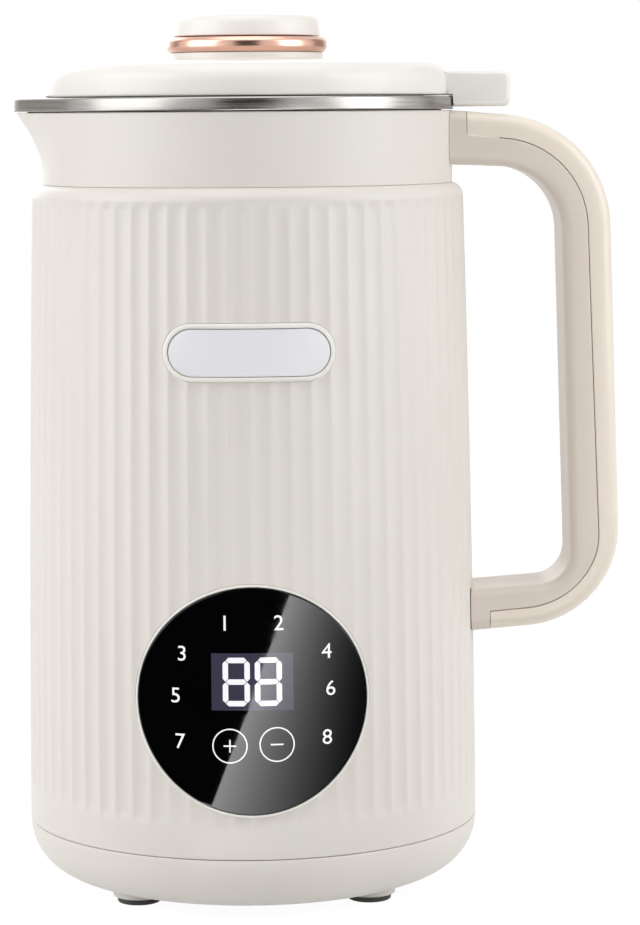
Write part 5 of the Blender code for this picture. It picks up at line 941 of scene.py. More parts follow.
class SOYMAKER_OT_jug(bpy.types.Operator):
    """Stainless jug with its folded rim and spout"""

    bl_idname = "soymaker.jug"
    bl_label = "Stainless jug"

    def execute(self, context):
        top = sizes().top
        inner, wall = top.jug_radius, top.jug_wall
        outer = inner + wall
        floor, corner = top.jug_floor, top.jug_corner
        rim, high = top.rim_radius, top.rim_top
        low, flare, middle = high - top.rim_band, high - 0.0076, 0.15
        bore, out, fold, bend = 0.0085, 0.0016, high - 0.0016, high - 0.0031
        levels = spread(top.spout_start, flare, 8)
        path = [(bore, floor)] + arc((inner - corner, floor + corner), corner, -math.pi / 2, 0.0, 8)
        path += [(inner, z) for z in [middle] + levels]
        path += rounded([(inner, flare + 0.0005, 0.0), (inner + out, bend, 0.002),
                         (inner + 0.0024, high, 0.0008), (rim, high, 0.0006), (rim, low, 0.0003),
                         (rim - wall, low, 0.0), (rim - wall, fold, 0.0),
                         (inner + 0.0032, fold, 0.0), (outer + out, bend, 0.0),
                         (outer, flare, 0.0)], steps=5)
        path += [(outer, z) for z in levels[-2::-2] + [middle]]
        path += arc((inner - corner, floor + corner), corner + wall, 0.0, -math.pi / 2, 8)
        path += [(bore, floor - wall)]
        jug = turned("jug_steel", path, steps=288, ends="joined", pull=spout_pull)
        settled(jug, "body", "stainless", "inner_jug")
        return {"FINISHED"}


class SOYMAKER_OT_lid(bpy.types.Operator):
    """Lid with its tab over the handle, its steel liner and its lip seal"""

    bl_idname = "soymaker.lid"
    bl_label = "Lid"

    def execute(self, context):
        top = sizes().top
        radius, low = top.lid_radius, top.lid_low
        edge = low + top.lid_side + top.lid_round
        crown = edge + top.lid_dome
        pedestal, high = top.pedestal_radius, top.pedestal_top
        inner, neck, hollow = radius - 0.0022, 0.0178, 0.0155
        stud, ceiling = high + 0.0035, high + 0.001
        path = rounded([(0.0, stud, 0.0), (neck, stud, 0.0), (neck, high, 0.0),
                        (pedestal, high, 0.0003), (pedestal, crown, 0.0006),
                        (radius - 0.012, edge + 0.0002, 0.03), (radius, edge - 0.0008, top.lid_round),
                        (radius, low, 0.0006),
                        (inner, low, 0.0), (inner, edge - 0.005, 0.002), (hollow, edge - 0.0025, 0.0),
                        (hollow, ceiling, 0.0), (0.0, ceiling, 0.0)], steps=8)
        settled(turned("lid_shell", path, steps=256, sharp=40.0), "lid", "lid_white", "lid_cover")
        self.tab(top)
        self.underside(top)
        return {"FINISHED"}

    def tab(self, top):
        """Tab with rounded sides, whose underside is hollowed round the rim."""
        half, side, into_lid = top.tab_width / 2, top.tab_round * 0.75, 0.0006
        start, end = math.sqrt(top.lid_radius ** 2 - half ** 2) - into_lid, top.tab_reach
        rim, low, high, rounding = top.rim_radius + TAB_PLAY, top.tab_low, top.tab_high, top.tab_round
        outline = rounded([(end, high, rounding), (start, high, 0.0), (start, top.lid_low, 0.0),
                           (rim, top.lid_low, 0.0), (rim, low, 0.0004), (end, low, rounding)],
                          closed=True, steps=6)
        middle = Vector(((start + end) / 2, (low + high) / 2))
        turns = spread(0.0, math.pi / 2, 5)
        ends = [(side * (1 - math.sin(turn)), half - side * (1 - math.cos(turn))) for turn in turns]
        between = [(0.0, (half - side) * (step / 4 - 1)) for step in range(1, 8)]
        rings = [[tab_point(x, z, y, inset, middle, outline) for x, z in outline]
                 for inset, y in [(inset, -y) for inset, y in ends] + between + ends[::-1]]
        settled(skin("lid_tab", rings, sharp=40.0), "lid", "lid_white")

    def underside(self, top):
        """Steel liner with its pressed ring and the lip seal in its groove."""
        low, flange = top.rim_top - top.liner_depth, top.rim_top + 0.0008
        radius, sheet = top.jug_radius - top.liner_clearance, 0.0015
        groove, inside, edge = radius - 0.0014, radius - 0.0026, top.lid_radius - 0.0025
        seat, cover, floor = low + 0.0022, low + 0.0054, low + 0.0019
        path = rounded([(0.0, low + 0.0007, 0.0), (0.0290, low + 0.0007, 0.002), (0.0310, low, 0.002),
                        (radius, low, 0.0018), (radius, seat, 0.0003), (groove, seat, 0.0),
                        (groove, cover, 0.0), (radius, cover, 0.0003),
                        (radius, flange, 0.0006), (edge, flange, 0.0004), (edge, flange + sheet, 0.0004),
                        (inside, flange + sheet, 0.0004), (inside, floor, 0.001),
                        (0.0, floor, 0.0)], steps=6)
        settled(turned("lid_liner_steel", path), "lid", "stainless", "lid_liner")
        lip, root, low, high = top.jug_radius - 0.0003, groove + 0.0003, low + 0.0025, low + 0.0051
        tip, soft = 0.0007, 0.0004
        path = rounded([(root, low, 0.0002), (lip - 0.0012, low, soft), (lip, low + tip, soft),
                        (lip - 0.0009, (low + high) / 2, soft), (lip, high - tip, soft),
                        (lip - 0.0012, high, soft), (root, high, 0.0002)], closed=True, steps=5)
        settled(turned("lid_lip_seal", path, ends="joined", sharp=60.0), "lid", "silicone", "lid_seal")


def tab_point(x, z, y, inset, middle, outline):
    """Point of the tab's outline, drawn in towards its middle and hollowed round the rim."""
    reach_x = max(abs(px - middle.x) for px, pz in outline)
    reach_z = max(abs(pz - middle.y) for px, pz in outline)
    round_rim, at_rim = sizes().top.rim_radius + TAB_PLAY, 0.0006
    height = middle.y + (z - middle.y) * (1 - inset / reach_z)
    if abs(x - round_rim) < at_rim:
        return (AXIS_X + x - round_rim + math.sqrt(round_rim ** 2 - y ** 2), y, height)
    return (AXIS_X + middle.x + (x - middle.x) * (1 - inset / reach_x), y, height)


class SOYMAKER_OT_blades(bpy.types.Operator):
    """Two ground blades and the cap nut over them"""

    bl_idname = "soymaker.blades"
    bl_label = "Blades"

    def execute(self, context):
        blades = sizes().blades
        step = blades.thickness + blades.gap
        lower = self.blade("blade_lower_steel", blades.height, -blades.drop, 0.0)
        settled(lower, "rotor", "stainless", "blade_lower")
        upper = self.blade("blade_upper_steel", blades.height + step, blades.lift, math.pi / 2)
        settled(upper, "rotor", "stainless", "blade_upper")
        low = blades.height + 2 * step
        high = low + blades.nut_height
        shoulder = high - blades.nut_crown
        corner, bore, edge, sixth = blades.nut_radius, blades.bore_radius, 0.0002, math.pi / 3
        dome, foot, recess = corner * 0.84, corner * 0.86, shoulder + 0.0003

        def flats(angle, z):
            if not low + edge < z < shoulder - edge:
                return 0.0
            return corner * (math.cos(sixth / 2) / math.cos(angle % sixth - sixth / 2) - 1)

        crown = [(dome * math.cos(turn), shoulder + blades.nut_crown * math.sin(turn))
                 for turn in [math.pi / 2 * part / 10 for part in range(9, -1, -1)]]
        path = [(0.0, high)] + crown
        path += [(corner, shoulder - 0.0004), (corner, low + 0.0003), (foot, low), (bore, low),
                 (bore, recess), (0.0, recess)]
        nut = turned("blade_cap_nut", path, steps=96, pull=flats, sharp=28.0)
        settled(nut, "rotor", "stainless", "blade_nut")
        return {"FINISHED"}

    def blade(self, name, z, rise, turn):
        """Blade with two wings bent at the hub, each ground along its leading edge."""
        blades = sizes().blades
        hub, reach, thick, bore = blades.hub_radius, blades.radius, blades.thickness, blades.bore_radius
        stations, bend, tip, tip_round, grind_onset = 36, 0.006, 0.0018, 0.75, 6
        fine, ground_left = 0.0001, 0.00025
        rings = []
        for index in range(-stations, stations + 1):
            x = reach * index / stations
            run = (abs(x) - hub) / (reach - hub)
            lift = rise * (run + math.sqrt(run * run + bend)) / (1 + math.sqrt(1 + bend))
            half = blades.hub_half + (blades.tip_half - blades.hub_half) * max(run, 0.0)
            near_tip = max(0.0, (abs(x) - reach + tip) / tip)
            half *= math.sqrt(1 - tip_round * near_tip * near_tip)
            ground = clamped(run * grind_onset)
            sides = []
            for sign in (-1, 1):
                share = ground if sign * x > 0 else 0.0
                sides.append((fine + (blades.grind - fine) * share,
                              thick - fine - (thick - ground_left) * share))
            (near_width, near_edge), (far_width, far_edge) = sides
            section = [(-half, 0.0), (half, 0.0), (half, far_edge), (half - far_width, thick),
                       (-half + near_width, thick), (-half, near_edge)]
            places = [(*swung(x, y, turn), z + lift + up) for y, up in section]
            rings.append([(AXIS_X + along, across, height) for along, across, height in places])
        under, over = z - 0.002, z + 0.003
        path = [(0.0, under), (bore, under), (bore, over), (0.0, over)]
        return carved(skin(name, rings, sharp=20.0), turned(name + "_bore", path, steps=48), 20.0)


class SOYMAKER_OT_knob(bpy.types.Operator):
    """Knob with its metal ring and cap"""

    bl_idname = "soymaker.knob"
    bl_label = "Knob"

    def execute(self, context):
        top = sizes().top
        low, height, radius, bore = top.ring_low, top.ring_height, top.ring_radius, 0.0182
        high, belly, brow = low + height, low + height * 0.30, low + height * 0.76
        path = rounded([(bore, low, 0.0), (radius - 0.0009, low, 0.0006), (radius, belly, 0.0012),
                        (radius - 0.0001, brow, 0.0011), (radius - 0.0012, high, 0.0009),
                        (bore, high, 0.0)], steps=6)
        ring = turned("knob_metal_ring", path, ends="joined", sharp=60.0)
        settled(ring, "lid", "rose_gold", "knob_ring")
        low, radius = top.knob_low, top.knob_radius
        high, inner = low + top.knob_height, radius - 0.0022
        under = high - 0.0026
        path = rounded([(0.0, high, 0.0), (0.010, high, 0.05),
                        (radius - 0.0006, high - 0.0005, top.knob_round), (radius, low, 0.0004),
                        (inner, low, 0.0), (inner, under, 0.0), (0.0, under, 0.0)], steps=8)
        settled(turned("knob_white_cap", path, sharp=40.0), "lid", "lid_white", "knob_cap")
        return {"FINISHED"}


def inward(first, second):
    """Direction square to a run of the handle, towards the finger gap."""
    run = (second - first).normalized()
    return Vector((run.y, -run.x))


def rail(corners, radii, start_x, end_x, steps=20, spans=6):
    """Path of one handle edge with the directions that look into the finger gap."""
    start, bend, elbow, end = [Vector(corner) for corner in corners]
    start = start + (bend - start) * ((start_x - start.x) / (bend.x - start.x))
    end = end + (elbow - end) * ((end_x - end.x) / (elbow.x - end.x))
    bows = []
    for before, corner, after, radius in ((start, bend, elbow, radii[0]), (bend, elbow, end, radii[1])):
        first, last = inward(before, corner), inward(corner, after)
        centre = corner + (first + last).normalized() * (radius / math.cos(first.angle(last) / 2))
        directions = [first.slerp(last, step / steps) for step in range(steps + 1)]
        bows.append([(centre - direction * radius, direction) for direction in directions])
    (upper_end, direction), lower_start = bows[0][-1], bows[1][0][0]
    grip = [(upper_end.lerp(lower_start, step / spans), direction) for step in range(1, spans)]
    return [(start, inward(start, bend)), *bows[0], *grip, *bows[1], (end, inward(elbow, end))]


def handle_edges(start_x, end_x):
    """Outer edge and finger-gap edge of the handle between two distances from the axis."""
    size = sizes().handle
    outer = rail(((size.root, size.top_height), (size.bend_x, size.bend_height),
                  (size.elbow_x, size.elbow_height), (size.toe, size.foot_height)),
                 (size.bend_round, size.elbow_round), start_x, end_x)
    inner = rail(((size.root, size.gap_top), (size.gap_bend_x, size.gap_bend_height),
                  (size.gap_elbow_x, size.gap_elbow_height), (size.toe, size.gap_foot)),
                 (size.gap_bend_round, size.gap_elbow_round), start_x, end_x)
    return outer, inner


def cover_seam(outer, extra):
    """Points of the seam under the outer edge, where the cover's depth changes along the grip."""
    size = sizes().handle
    change_start, change_span = 0.40, 0.30
    points = []
    for index, (point, direction) in enumerate(outer):
        share = clamped((index / (len(outer) - 1) - change_start) / change_span)
        share = share * share * (3 - 2 * share)
        depth = size.cover_top_depth + (size.cover_low_depth - size.cover_top_depth) * share
        points.append(point + direction * (depth - extra))
    return points


def square_ends(seam, edge, forward=0.0):
    """Seam whose two ends lie straight under the ends of the outer edge."""
    for index in (0, -1):
        seam[index] = Vector((edge[index][0].x + forward, seam[index].y))
    return seam


def handle_section(near, far, near_edge, far_edge, half):
    """Ring of points between two edges of the handle, with a rounding at each edge."""
    across = (far - near).normalized()
    ring = []
    for origin, way, edge in ((near, 1.0, near_edge), (far, -1.0, far_edge)):
        row = [(origin + across * way * edge * (1 - math.sin(turn)), half - edge * (1 - math.cos(turn)))
               for turn in spread(0.0, math.pi / 2, 6)]
        ring += [(point, -way * side) for point, side in row]
        ring += [(point, way * side) for point, side in row[::-1]]
    return [(AXIS_X + point.x, side, point.y) for point, side in ring]


def fitted_to_body(ring, upper):
    """Moves an end ring of the handle onto the skin of the collar or the shell."""
    play = 0.0001
    points = []
    for x, y, z in ring:
        radius = (sizes().top.collar_radius if upper else shell_radius(z)) + play
        points.append((AXIS_X + math.sqrt(radius ** 2 - y ** 2), y, z))
    return points


class SOYMAKER_OT_handle(bpy.types.Operator):
    """Handle body, the cover along its outer side and the tongue that closes their seam inside"""

    bl_idname = "soymaker.handle"
    bl_label = "Handle"

    def execute(self, context):
        size = sizes().handle
        half, edge, nudge, tongue_edge = size.width / 2, size.edge, 0.00005, 0.0002
        outer, inner = handle_edges(size.root, size.toe)
        zone_outer, zone_inner = handle_edges(size.cover_start, size.cover_end)
        seam = square_ends(cover_seam(zone_outer, 0.0), zone_outer, nudge)
        roots = [handle_section(inner[end][0], outer[end][0], edge, edge, half) for end in (0, -1)]
        steps = [handle_section(zone_inner[end][0], zone_outer[end][0], edge, edge, half) for end in (0, -1)]
        rings = [fitted_to_body(roots[0], True), steps[0]]
        rings += [handle_section(near, far, edge, size.seam_edge, half)
                  for (near, direction), far in zip(zone_inner, seam)]
        rings += [steps[1], fitted_to_body(roots[1], False)]
        settled(skin("handle_grip", rings), "body", "handle_body_cream", "handle_body")
        zone_outer, zone_inner = handle_edges(size.cover_start + size.seam, size.cover_end + size.seam)
        seam = square_ends(cover_seam(zone_outer, size.seam), zone_outer)
        rings = [handle_section(near, far, size.seam_edge, edge, half)
                 for near, (far, direction) in zip(seam, zone_outer)]
        settled(skin("handle_outer_cover", rings), "body", "handle_cover_cream", "handle_cover")
        pairs = zip(cover_seam(zone_outer, -size.tongue), cover_seam(zone_outer, size.tongue))
        rings = [handle_section(near, far, tongue_edge, tongue_edge, half - edge) for near, far in pairs]
        settled(skin("handle_tongue", rings[1:-1]), "body", "handle_body_cream")
        return {"FINISHED"}


def strip(name, half, low, high, thickness, columns=14):
    """Rectangle printed on the glass, given by half its width and by its edges over the panel's middle."""
    panel = sizes().panel
    back, front = panel.glass_proud - panel.ink, panel.glass_proud + thickness
    corners = ((low, back), (high, back), (high, front), (low, front))
    return skin(name, [[on_body(x, panel.height + z, proud) for z, proud in corners]
                       for x in spread(-half, half, columns)])


def joined(name, pieces):
    """One object from several, with its mesh data merged."""
    mesh_data = bmesh.new()
    for piece in pieces:
        mesh_data.from_mesh(piece.data)
        bpy.data.objects.remove(piece)
    return finished(name, mesh_data, recalculate=False)


def printed(mesh_data, x, z, thickness, column=0.0004):
    """Bends a flat mark, which lies between -1 and 1 in depth, onto the glass at a place."""
    panel = sizes().panel
    reach = max(abs(corner.co.x) for corner in mesh_data.verts)
    cuts = int(reach / column)
    for step in range(-cuts, cuts + 1):
        geometry = mesh_data.verts[:] + mesh_data.edges[:] + mesh_data.faces[:]
        bmesh.ops.bisect_plane(mesh_data, geom=geometry, plane_co=(step * column, 0.0, 0.0),
                               plane_no=(1.0, 0.0, 0.0))
    for corner in mesh_data.verts:
        flat_x, flat_z, depth = corner.co
        proud = panel.glass_proud + (thickness if depth > 0.0 else -panel.ink)
        corner.co = Vector(on_body(x + flat_x, panel.height + z + flat_z, proud))
    return finished("mark", mesh_data)


def bar(outline, x, z, thickness):
    """Printed mark from its outline."""
    mesh_data = bmesh.new()
    back, front = [[mesh_data.verts.new((px, pz, depth)) for px, pz in outline] for depth in (-1.0, 1.0)]
    mesh_data.faces.new(back)
    mesh_data.faces.new(front)
    band(mesh_data, back, front)
    return printed(mesh_data, x, z, thickness)


def numeral(text, x, z, height):
    """Plain numeral printed on the glass."""
    curve = bpy.data.curves.new("numeral", "FONT")
    curve.body = text
    curve.align_x = "CENTER"
    curve.resolution_u = 6
    curve.extrude = 0.5
    source = linked("numeral", curve)
    bpy.context.view_layer.update()
    mesh = bpy.data.meshes.new_from_object(source.evaluated_get(bpy.context.evaluated_depsgraph_get()))
    bpy.data.objects.remove(source)
    tall = max(corner.co.y for corner in mesh.vertices)
    low = min(corner.co.y for corner in mesh.vertices)
    scale = height / (tall - low)
    mesh_data = bmesh.new()
    mesh_data.from_mesh(mesh)
    bmesh.ops.remove_doubles(mesh_data, verts=mesh_data.verts, dist=1e-5)
    for corner in mesh_data.verts:
        corner.co = Vector((corner.co.x * scale, (corner.co.y - low) * scale - height / 2, corner.co.z))
    return printed(mesh_data, x, z, sizes().panel.ink)


class SOYMAKER_OT_panel(bpy.types.Operator):
    """Touch panel: bezel, glass, two-figure display, numerals and key rings"""

    bl_idname = "soymaker.panel"
    bl_label = "Touch panel"

    def execute(self, context):
        panel = sizes().panel
        radius, width, proud = panel.bezel_radius, panel.bezel_width, panel.bezel_proud
        bottom, play, edge, parts, near_edge = -0.0060, 0.0001, 0.0002, 14, 0.992
        path = [(0.0, bottom), (0.0, proud - 0.0004), (0.0001, proud - 0.00015), (0.00025, proud),
                (width - 0.00025, proud), (width - 0.0001, proud - 0.00012), (width, proud - 0.0003),
                (width, bottom)]
        bezel = frame_ring("bezel_ring", lambda inset: circle(radius - inset, 160), panel.height, path)
        settled(bezel, "body", "trim_cream", "control_bezel")
        glass = plate("panel_glass", circle(radius - width - play, 160), panel.height,
                      panel.glass_proud - panel.glass_thickness, panel.glass_proud, edge,
                      [near_edge] + [1 - part / parts for part in range(1, parts)])
        settled(glass, "body", "black_glass", "control_window")
        half = panel.display_height / 2
        display = strip("display_window", panel.display_width / 2, panel.display_rise - half,
                        panel.display_rise + half, panel.ink / 3)
        settled(display, "body", "black_glass", finish="panel_display")
        # The figures and the marks take the ink finish with its painted glow.
        settled(self.figures(panel), "body", "black_glass", finish="panel_ink")
        settled(self.marks(panel), "body", "black_glass", finish="panel_ink")
        return {"FINISHED"}

    def figures(self, panel):
        """Two figures of seven bars each."""
        tip, gap = panel.bar_width / 2, 0.00012
        reach_x, reach_z = panel.figure_width / 2 - tip, panel.figure_height / 2 - tip
        pieces = []
        for middle in (-panel.figure_pitch / 2, panel.figure_pitch / 2):
            bars = [(0.0, z, reach_x - gap, False) for z in (-reach_z, 0.0, reach_z)]
            bars += [(x, sign * reach_z / 2, reach_z / 2 - gap, True) for x in (-reach_x, reach_x)
                     for sign in (-1, 1)]
            for x, z, run, upright in bars:
                outline = [(-run, 0.0), (-run + tip, -tip), (run - tip, -tip), (run, 0.0), (run - tip, tip),
                           (-run + tip, tip)]
                if upright:
                    outline = [(-pz, px) for px, pz in outline]
                pieces.append(bar(outline, middle + x, panel.display_rise + z, panel.ink))
        return joined("display_figures", pieces)

    def marks(self, panel):
        """Plain numerals in the places of the keys, and two ringed keys with a plus and a minus."""
        places = ((-0.0072, 0.0211), (0.0071, 0.0211), (-0.0186, 0.0128), (0.0198, 0.0130),
                  (-0.0204, 0.0015), (0.0208, 0.0030), (-0.0194, -0.0108), (0.0198, -0.0101))
        pieces = [numeral(str(index + 1), x, z, panel.numeral_height) for index, (x, z) in enumerate(places)]
        outer, inner = panel.key_radius, panel.key_radius - panel.key_line
        arm, thick = 0.0017, 0.0002
        level, upright = (arm, thick, panel.ink), (thick, arm, panel.ink * 1.3)
        for x, z, strokes in ((-0.0061, -0.0118, (level, upright)), (0.0064, -0.0115, (level,))):
            rings = [[on_body(x + px, panel.height + z + pz, panel.glass_proud + side * panel.ink)
                      for px, pz in circle(radius, 64)]
                     for radius, side in ((outer, -1), (outer, 1), (inner, 1), (inner, -1))]
            pieces.append(skin("mark", rings, "joined"))
            pieces += [bar(oblong(half_x, half_z), x, z, ink) for half_x, half_z, ink in strokes]
        return joined("panel_marks", pieces)


class SOYMAKER_OT_badge(bpy.types.Operator):
    """Oblong badge frame with its bare plate"""

    bl_idname = "soymaker.badge"
    bl_label = "Badge"

    def execute(self, context):
        panel = sizes().panel
        width, proud, bottom = panel.badge_frame, panel.badge_proud, -0.0008
        play, edge = 0.0002, 0.00015
        path = [(0.0, bottom), (0.0, proud - 0.0006), (0.00012, proud - 0.0003), (0.0005, proud),
                (width - 0.0004, proud), (width - 0.0001, proud - 0.0001), (width, proud - 0.0003),
                (width, bottom)]

        def outline(inset):
            return stadium(panel.badge_length - 2 * inset, panel.badge_width - 2 * inset)

        rim = frame_ring("badge_rim", outline, panel.badge_height, path)
        settled(rim, "body", "trim_cream", "badge_frame")
        bare = plate("badge_bare_plate", outline(width + play), panel.badge_height, bottom, panel.plate_proud,
                     edge)
        settled(bare, "body", "badge_silver", "badge_plate")
        return {"FINISHED"}


class SOYMAKER_OT_inner_parts(bpy.types.Operator):
    """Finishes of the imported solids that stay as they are"""

    bl_idname = "soymaker.inner_parts"
    bl_label = "Inner parts"

    def execute(self, context):
        made = finishes()
        for row in frame["record"]["subparts"]:
            mesh = frame["nodes"][row["node"]].data
            mesh.materials.clear()
            mesh.materials.append(made[row["material_slot"]])
        return {"FINISHED"}


# Stage


def soft_box(name, place, aim, width, height, power):
    """Rectangular lamp that looks at a point."""
    light = bpy.data.lights.new(name, "AREA")
    light.shape = "RECTANGLE"
    light.size = width
    light.size_y = height
    light.energy = power
    lamp = linked(name, light)
    lamp.location = place
    lamp.rotation_euler = (Vector(aim) - Vector(place)).to_track_quat("-Z", "Y").to_euler()


def looked_at(tree):
    """Value of one where the camera, a mirror or a clear piece looks, and of zero for plain light."""
    path = new_node(tree, "ShaderNodeLightPath").outputs
    total = path["Is Camera Ray"]
    for ray in ("Is Glossy Ray", "Is Transmission Ray"):
        total = new_node(tree, "ShaderNodeMath", {0: total, 1: path[ray]}, operation="ADD").outputs[0]
    return total


def stage_card(name, corners, material):
    """Flat piece of the stage between four corners."""
    mesh = bpy.data.meshes.new(name)
    mesh.from_pydata(corners, [], [(0, 1, 2, 3)])
    return staged(mesh, material)


def staged(mesh, material):
    """Object of the stage from its mesh."""
    mesh.materials.append(material)
    made = linked(mesh.name, mesh)
    return made


def mirrored_only(made):
    """Leaves a card visible to reflections alone."""
    for ray in ("camera", "diffuse", "shadow", "transmission"):
        setattr(made, "visible_" + ray, False)


def card_material(name, **values):
    """Plain material of a card from the shader's own sockets."""
    material = bpy.data.materials.new(name)
    material.use_nodes = True
    for label, value in values.items():
        material.node_tree.nodes["Principled BSDF"].inputs[label.replace("_", " ")].default_value = value
    return material


def stage_material(name):
    """Material whose tree holds only its output."""
    material = bpy.data.materials.new(name)
    material.use_nodes = True
    material.node_tree.nodes.clear()
    return material


class SOYMAKER_OT_studio(bpy.types.Operator):
    """Floor, room light, soft boxes and camera"""

    bl_idname = "soymaker.studio"
    bl_label = "Studio"

    def execute(self, context):
        studio = sizes().studio
        self.room(studio)
        self.floor()
        self.cards()
        middle = (-0.02, 0.0, 0.12)
        soft_box("left_box", (-0.83, -0.34, 0.45), middle, 0.8, 0.9, studio.left_light)
        soft_box("right_box", (0.58, -0.26, 0.34), middle, 0.42, 0.6, studio.right_light)
        soft_box("top_box", (0.0, -0.15, 0.9), (0.0, 0.0, 0.2), 0.7, 0.7, studio.top_light)
        soft_box("back_box", (-0.25, 0.85, 0.5), middle, 0.7, 0.7, studio.back_light)
        data = bpy.data.cameras.new("photo_camera")
        data.lens = studio.lens
        data.sensor_width = 36.0
        data.clip_start = 0.01
        camera = linked("photo_camera", data)
        camera.location = self.eye(studio)
        yaw = Euler((0.0, 0.0, math.radians(-studio.yaw))).to_matrix()
        pitch = Euler((math.radians(90.0 - studio.pitch), 0.0, 0.0)).to_matrix()
        roll = Euler((0.0, 0.0, math.radians(-studio.roll))).to_matrix()
        camera.rotation_euler = (yaw @ pitch @ roll).to_euler()
        context.scene.camera = camera
        context.scene.view_settings.view_transform = "Standard"
        return {"FINISHED"}

    def eye(self, studio):
        """Place of the camera."""
        return (AXIS_X + studio.side_step, -studio.distance, studio.camera_height)

    def room(self, studio):
        """Even light of the room, white where the camera and the mirrors look."""
        world = bpy.data.worlds.new("room")
        bpy.context.scene.world = world
        world.use_nodes = True
        background = world.node_tree.nodes["Background"].inputs
        background["Color"].default_value = (1.0, 1.0, 1.0, 1.0)
        level = new_node(world.node_tree, "ShaderNodeMapRange", {
            "Value": looked_at(world.node_tree), "To Min": studio.room_light, "To Max": 1.0,
        })
        world.node_tree.links.new(level.outputs["Result"], background["Strength"])

    def floor(self):
        """Pale floor that keeps a faint shadow."""
        reach, white_share = 6.0, 0.85
        material = stage_material("floor_paper")
        tree = material.node_tree
        paper = new_node(tree, "ShaderNodeBsdfDiffuse", {"Color": (0.78, 0.78, 0.78, 1.0)})
        glow = new_node(tree, "ShaderNodeEmission", {"Strength": 1.12})
        share = new_node(tree, "ShaderNodeMath", {0: looked_at(tree), 1: white_share}, operation="MULTIPLY",
                         use_clamp=True)
        mix = new_node(tree, "ShaderNodeMixShader", {"Fac": share.outputs[0], 1: paper.outputs[0],
                                                     2: glow.outputs[0]})
        new_node(tree, "ShaderNodeOutputMaterial", {"Surface": mix.outputs[0]})
        stage_card("floor", [(x, y, 0.0) for x, y in oblong(reach, reach)], material)

    def cards(self):
        """Dark cards for the mirrors and the card whose picture lies across the panel's glass."""
        dark = card_material("dark_card", Base_Color=(0.04, 0.04, 0.04, 1.0), Roughness=1.0)
        front = [(-0.42, -1.3, 0.0), (0.40, -1.3, 0.0), (0.40, -1.3, 0.9), (-0.42, -1.3, 0.9)]
        stage_card("front_card", front, dark).visible_camera = False
        dim = card_material("dim_card", Base_Color=(0.0, 0.0, 0.0, 1.0), Emission_Strength=1.0,
                            Emission_Color=(0.36, 0.33, 0.3, 1.0))
        low, high = 0.12, 0.60
        for name, first, last in (("left_card", (-0.56, 0.22), (-0.48, 0.36)),
                                  ("right_card", (0.56, 0.22), (0.30, 0.52))):
            corners = [(*first, low), (*last, low), (*last, high), (*first, high)]
            mirrored_only(stage_card(name, corners, dim))
        mirrored_only(self.panel_card())

    def panel_card(self):
        """Card on the floor, black on one side of a slanting edge and fading grey on the other."""
        panel, studio = sizes().panel, sizes().studio
        eye = Vector(self.eye(studio))
        rows, half, tall, wide, fade, power, tiny = 36, 12, 0.046, 0.042, 9.8, 2.3, 0.001
        columns = [(-step / half, 0.0) for step in range(half, -1, -1)] + [(0.0, 1.0)]
        columns += [(step / half, max(0.0, 1 - step / fade) ** power) for step in range(1, half + 1)]
        places, glows = [], []
        for row in range(rows + 1):
            z = tall * (2 * row / rows - 1)
            edge = studio.streak_step + studio.streak_slope * z
            for share, glow in columns:
                x = edge + share * (wide - edge if share > 0 else wide + edge)
                point, right, up = [Vector(on_body(x + dx, panel.height + z + dz, panel.glass_proud))
                                    for dx, dz in ((0.0, 0.0), (tiny, 0.0), (0.0, tiny))]
                sight = (point - eye).normalized()
                facing = (right - point).cross(up - point).normalized()
                back = sight - 2 * sight.dot(facing) * facing
                places.append(point + back * ((point.z - tiny) / -back.z))
                glows.append(glow)
        across = len(columns)
        faces = [(row * across + column, row * across + column + 1, (row + 1) * across + column + 1,
                  (row + 1) * across + column) for row in range(rows) for column in range(across - 1)
                 if column != half]
        mesh = bpy.data.meshes.new("panel_card")
        mesh.from_pydata(places, [], faces)
        mesh.attributes.new("glow", "FLOAT", "POINT").data.foreach_set("value", glows)
        material = stage_material("panel_card")
        tree = material.node_tree
        source = new_node(tree, "ShaderNodeAttribute", attribute_name="glow")
        level = new_node(tree, "ShaderNodeMath", {0: source.outputs["Fac"], 1: studio.streak_light},
                         operation="MULTIPLY")
        shine = new_node(tree, "ShaderNodeEmission", {"Strength": level.outputs[0]})
        new_node(tree, "ShaderNodeOutputMaterial", {"Surface": shine.outputs[0]})
        return staged(mesh, material)


# Add-on


STEPS = (SOYMAKER_OT_inner_parts, SOYMAKER_OT_outer_shell, SOYMAKER_OT_base_cover, SOYMAKER_OT_feet,
         SOYMAKER_OT_collar, SOYMAKER_OT_jug, SOYMAKER_OT_lid, SOYMAKER_OT_knob, SOYMAKER_OT_blades,
         SOYMAKER_OT_handle, SOYMAKER_OT_panel, SOYMAKER_OT_badge, SOYMAKER_OT_studio)


class SOYMAKER_PT_sidebar(bpy.types.Panel):
    """Steps that build the machine"""

    bl_idname = "SOYMAKER_PT_sidebar"
    bl_label = "Soy milk maker"
    bl_space_type = "VIEW_3D"
    bl_region_type = "UI"
    bl_category = "Soy milk maker"

    def draw(self, context):
        column = self.layout.column(align=True)
        for step in STEPS:
            column.operator(step.bl_idname)


CLASSES = (SoyMakerBody, SoyMakerTop, SoyMakerHandle, SoyMakerPanel, SoyMakerColours, SoyMakerBlades,
           SoyMakerStudio, SoyMakerSizes, *STEPS, SOYMAKER_PT_sidebar)


def register():
    """Adds the classes and the machine's values to Blender."""
    for each in CLASSES:
        bpy.utils.register_class(each)
    bpy.types.Scene.soy_maker = PointerProperty(type=SoyMakerSizes)


def unregister():
    """Removes the values and the classes again."""
    del bpy.types.Scene.soy_maker
    for each in reversed(CLASSES):
        bpy.utils.unregister_class(each)


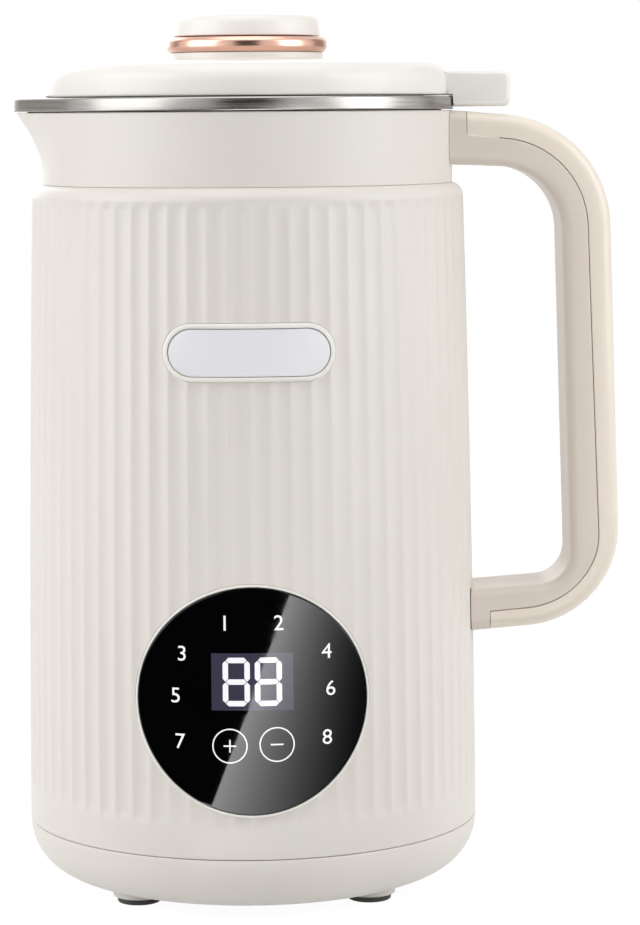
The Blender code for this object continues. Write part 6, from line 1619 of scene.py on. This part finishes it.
def main():
    """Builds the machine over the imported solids."""
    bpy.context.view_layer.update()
    register()
    bpy.ops.soymaker.inner_parts()
    bpy.ops.soymaker.outer_shell()
    bpy.ops.soymaker.base_cover()
    bpy.ops.soymaker.feet()
    bpy.ops.soymaker.collar()
    bpy.ops.soymaker.jug()
    bpy.ops.soymaker.lid()
    bpy.ops.soymaker.knob()
    bpy.ops.soymaker.blades()
    bpy.ops.soymaker.handle()
    bpy.ops.soymaker.panel()
    bpy.ops.soymaker.badge()
    bpy.ops.soymaker.studio()


if __name__ == "__main__":
    main()
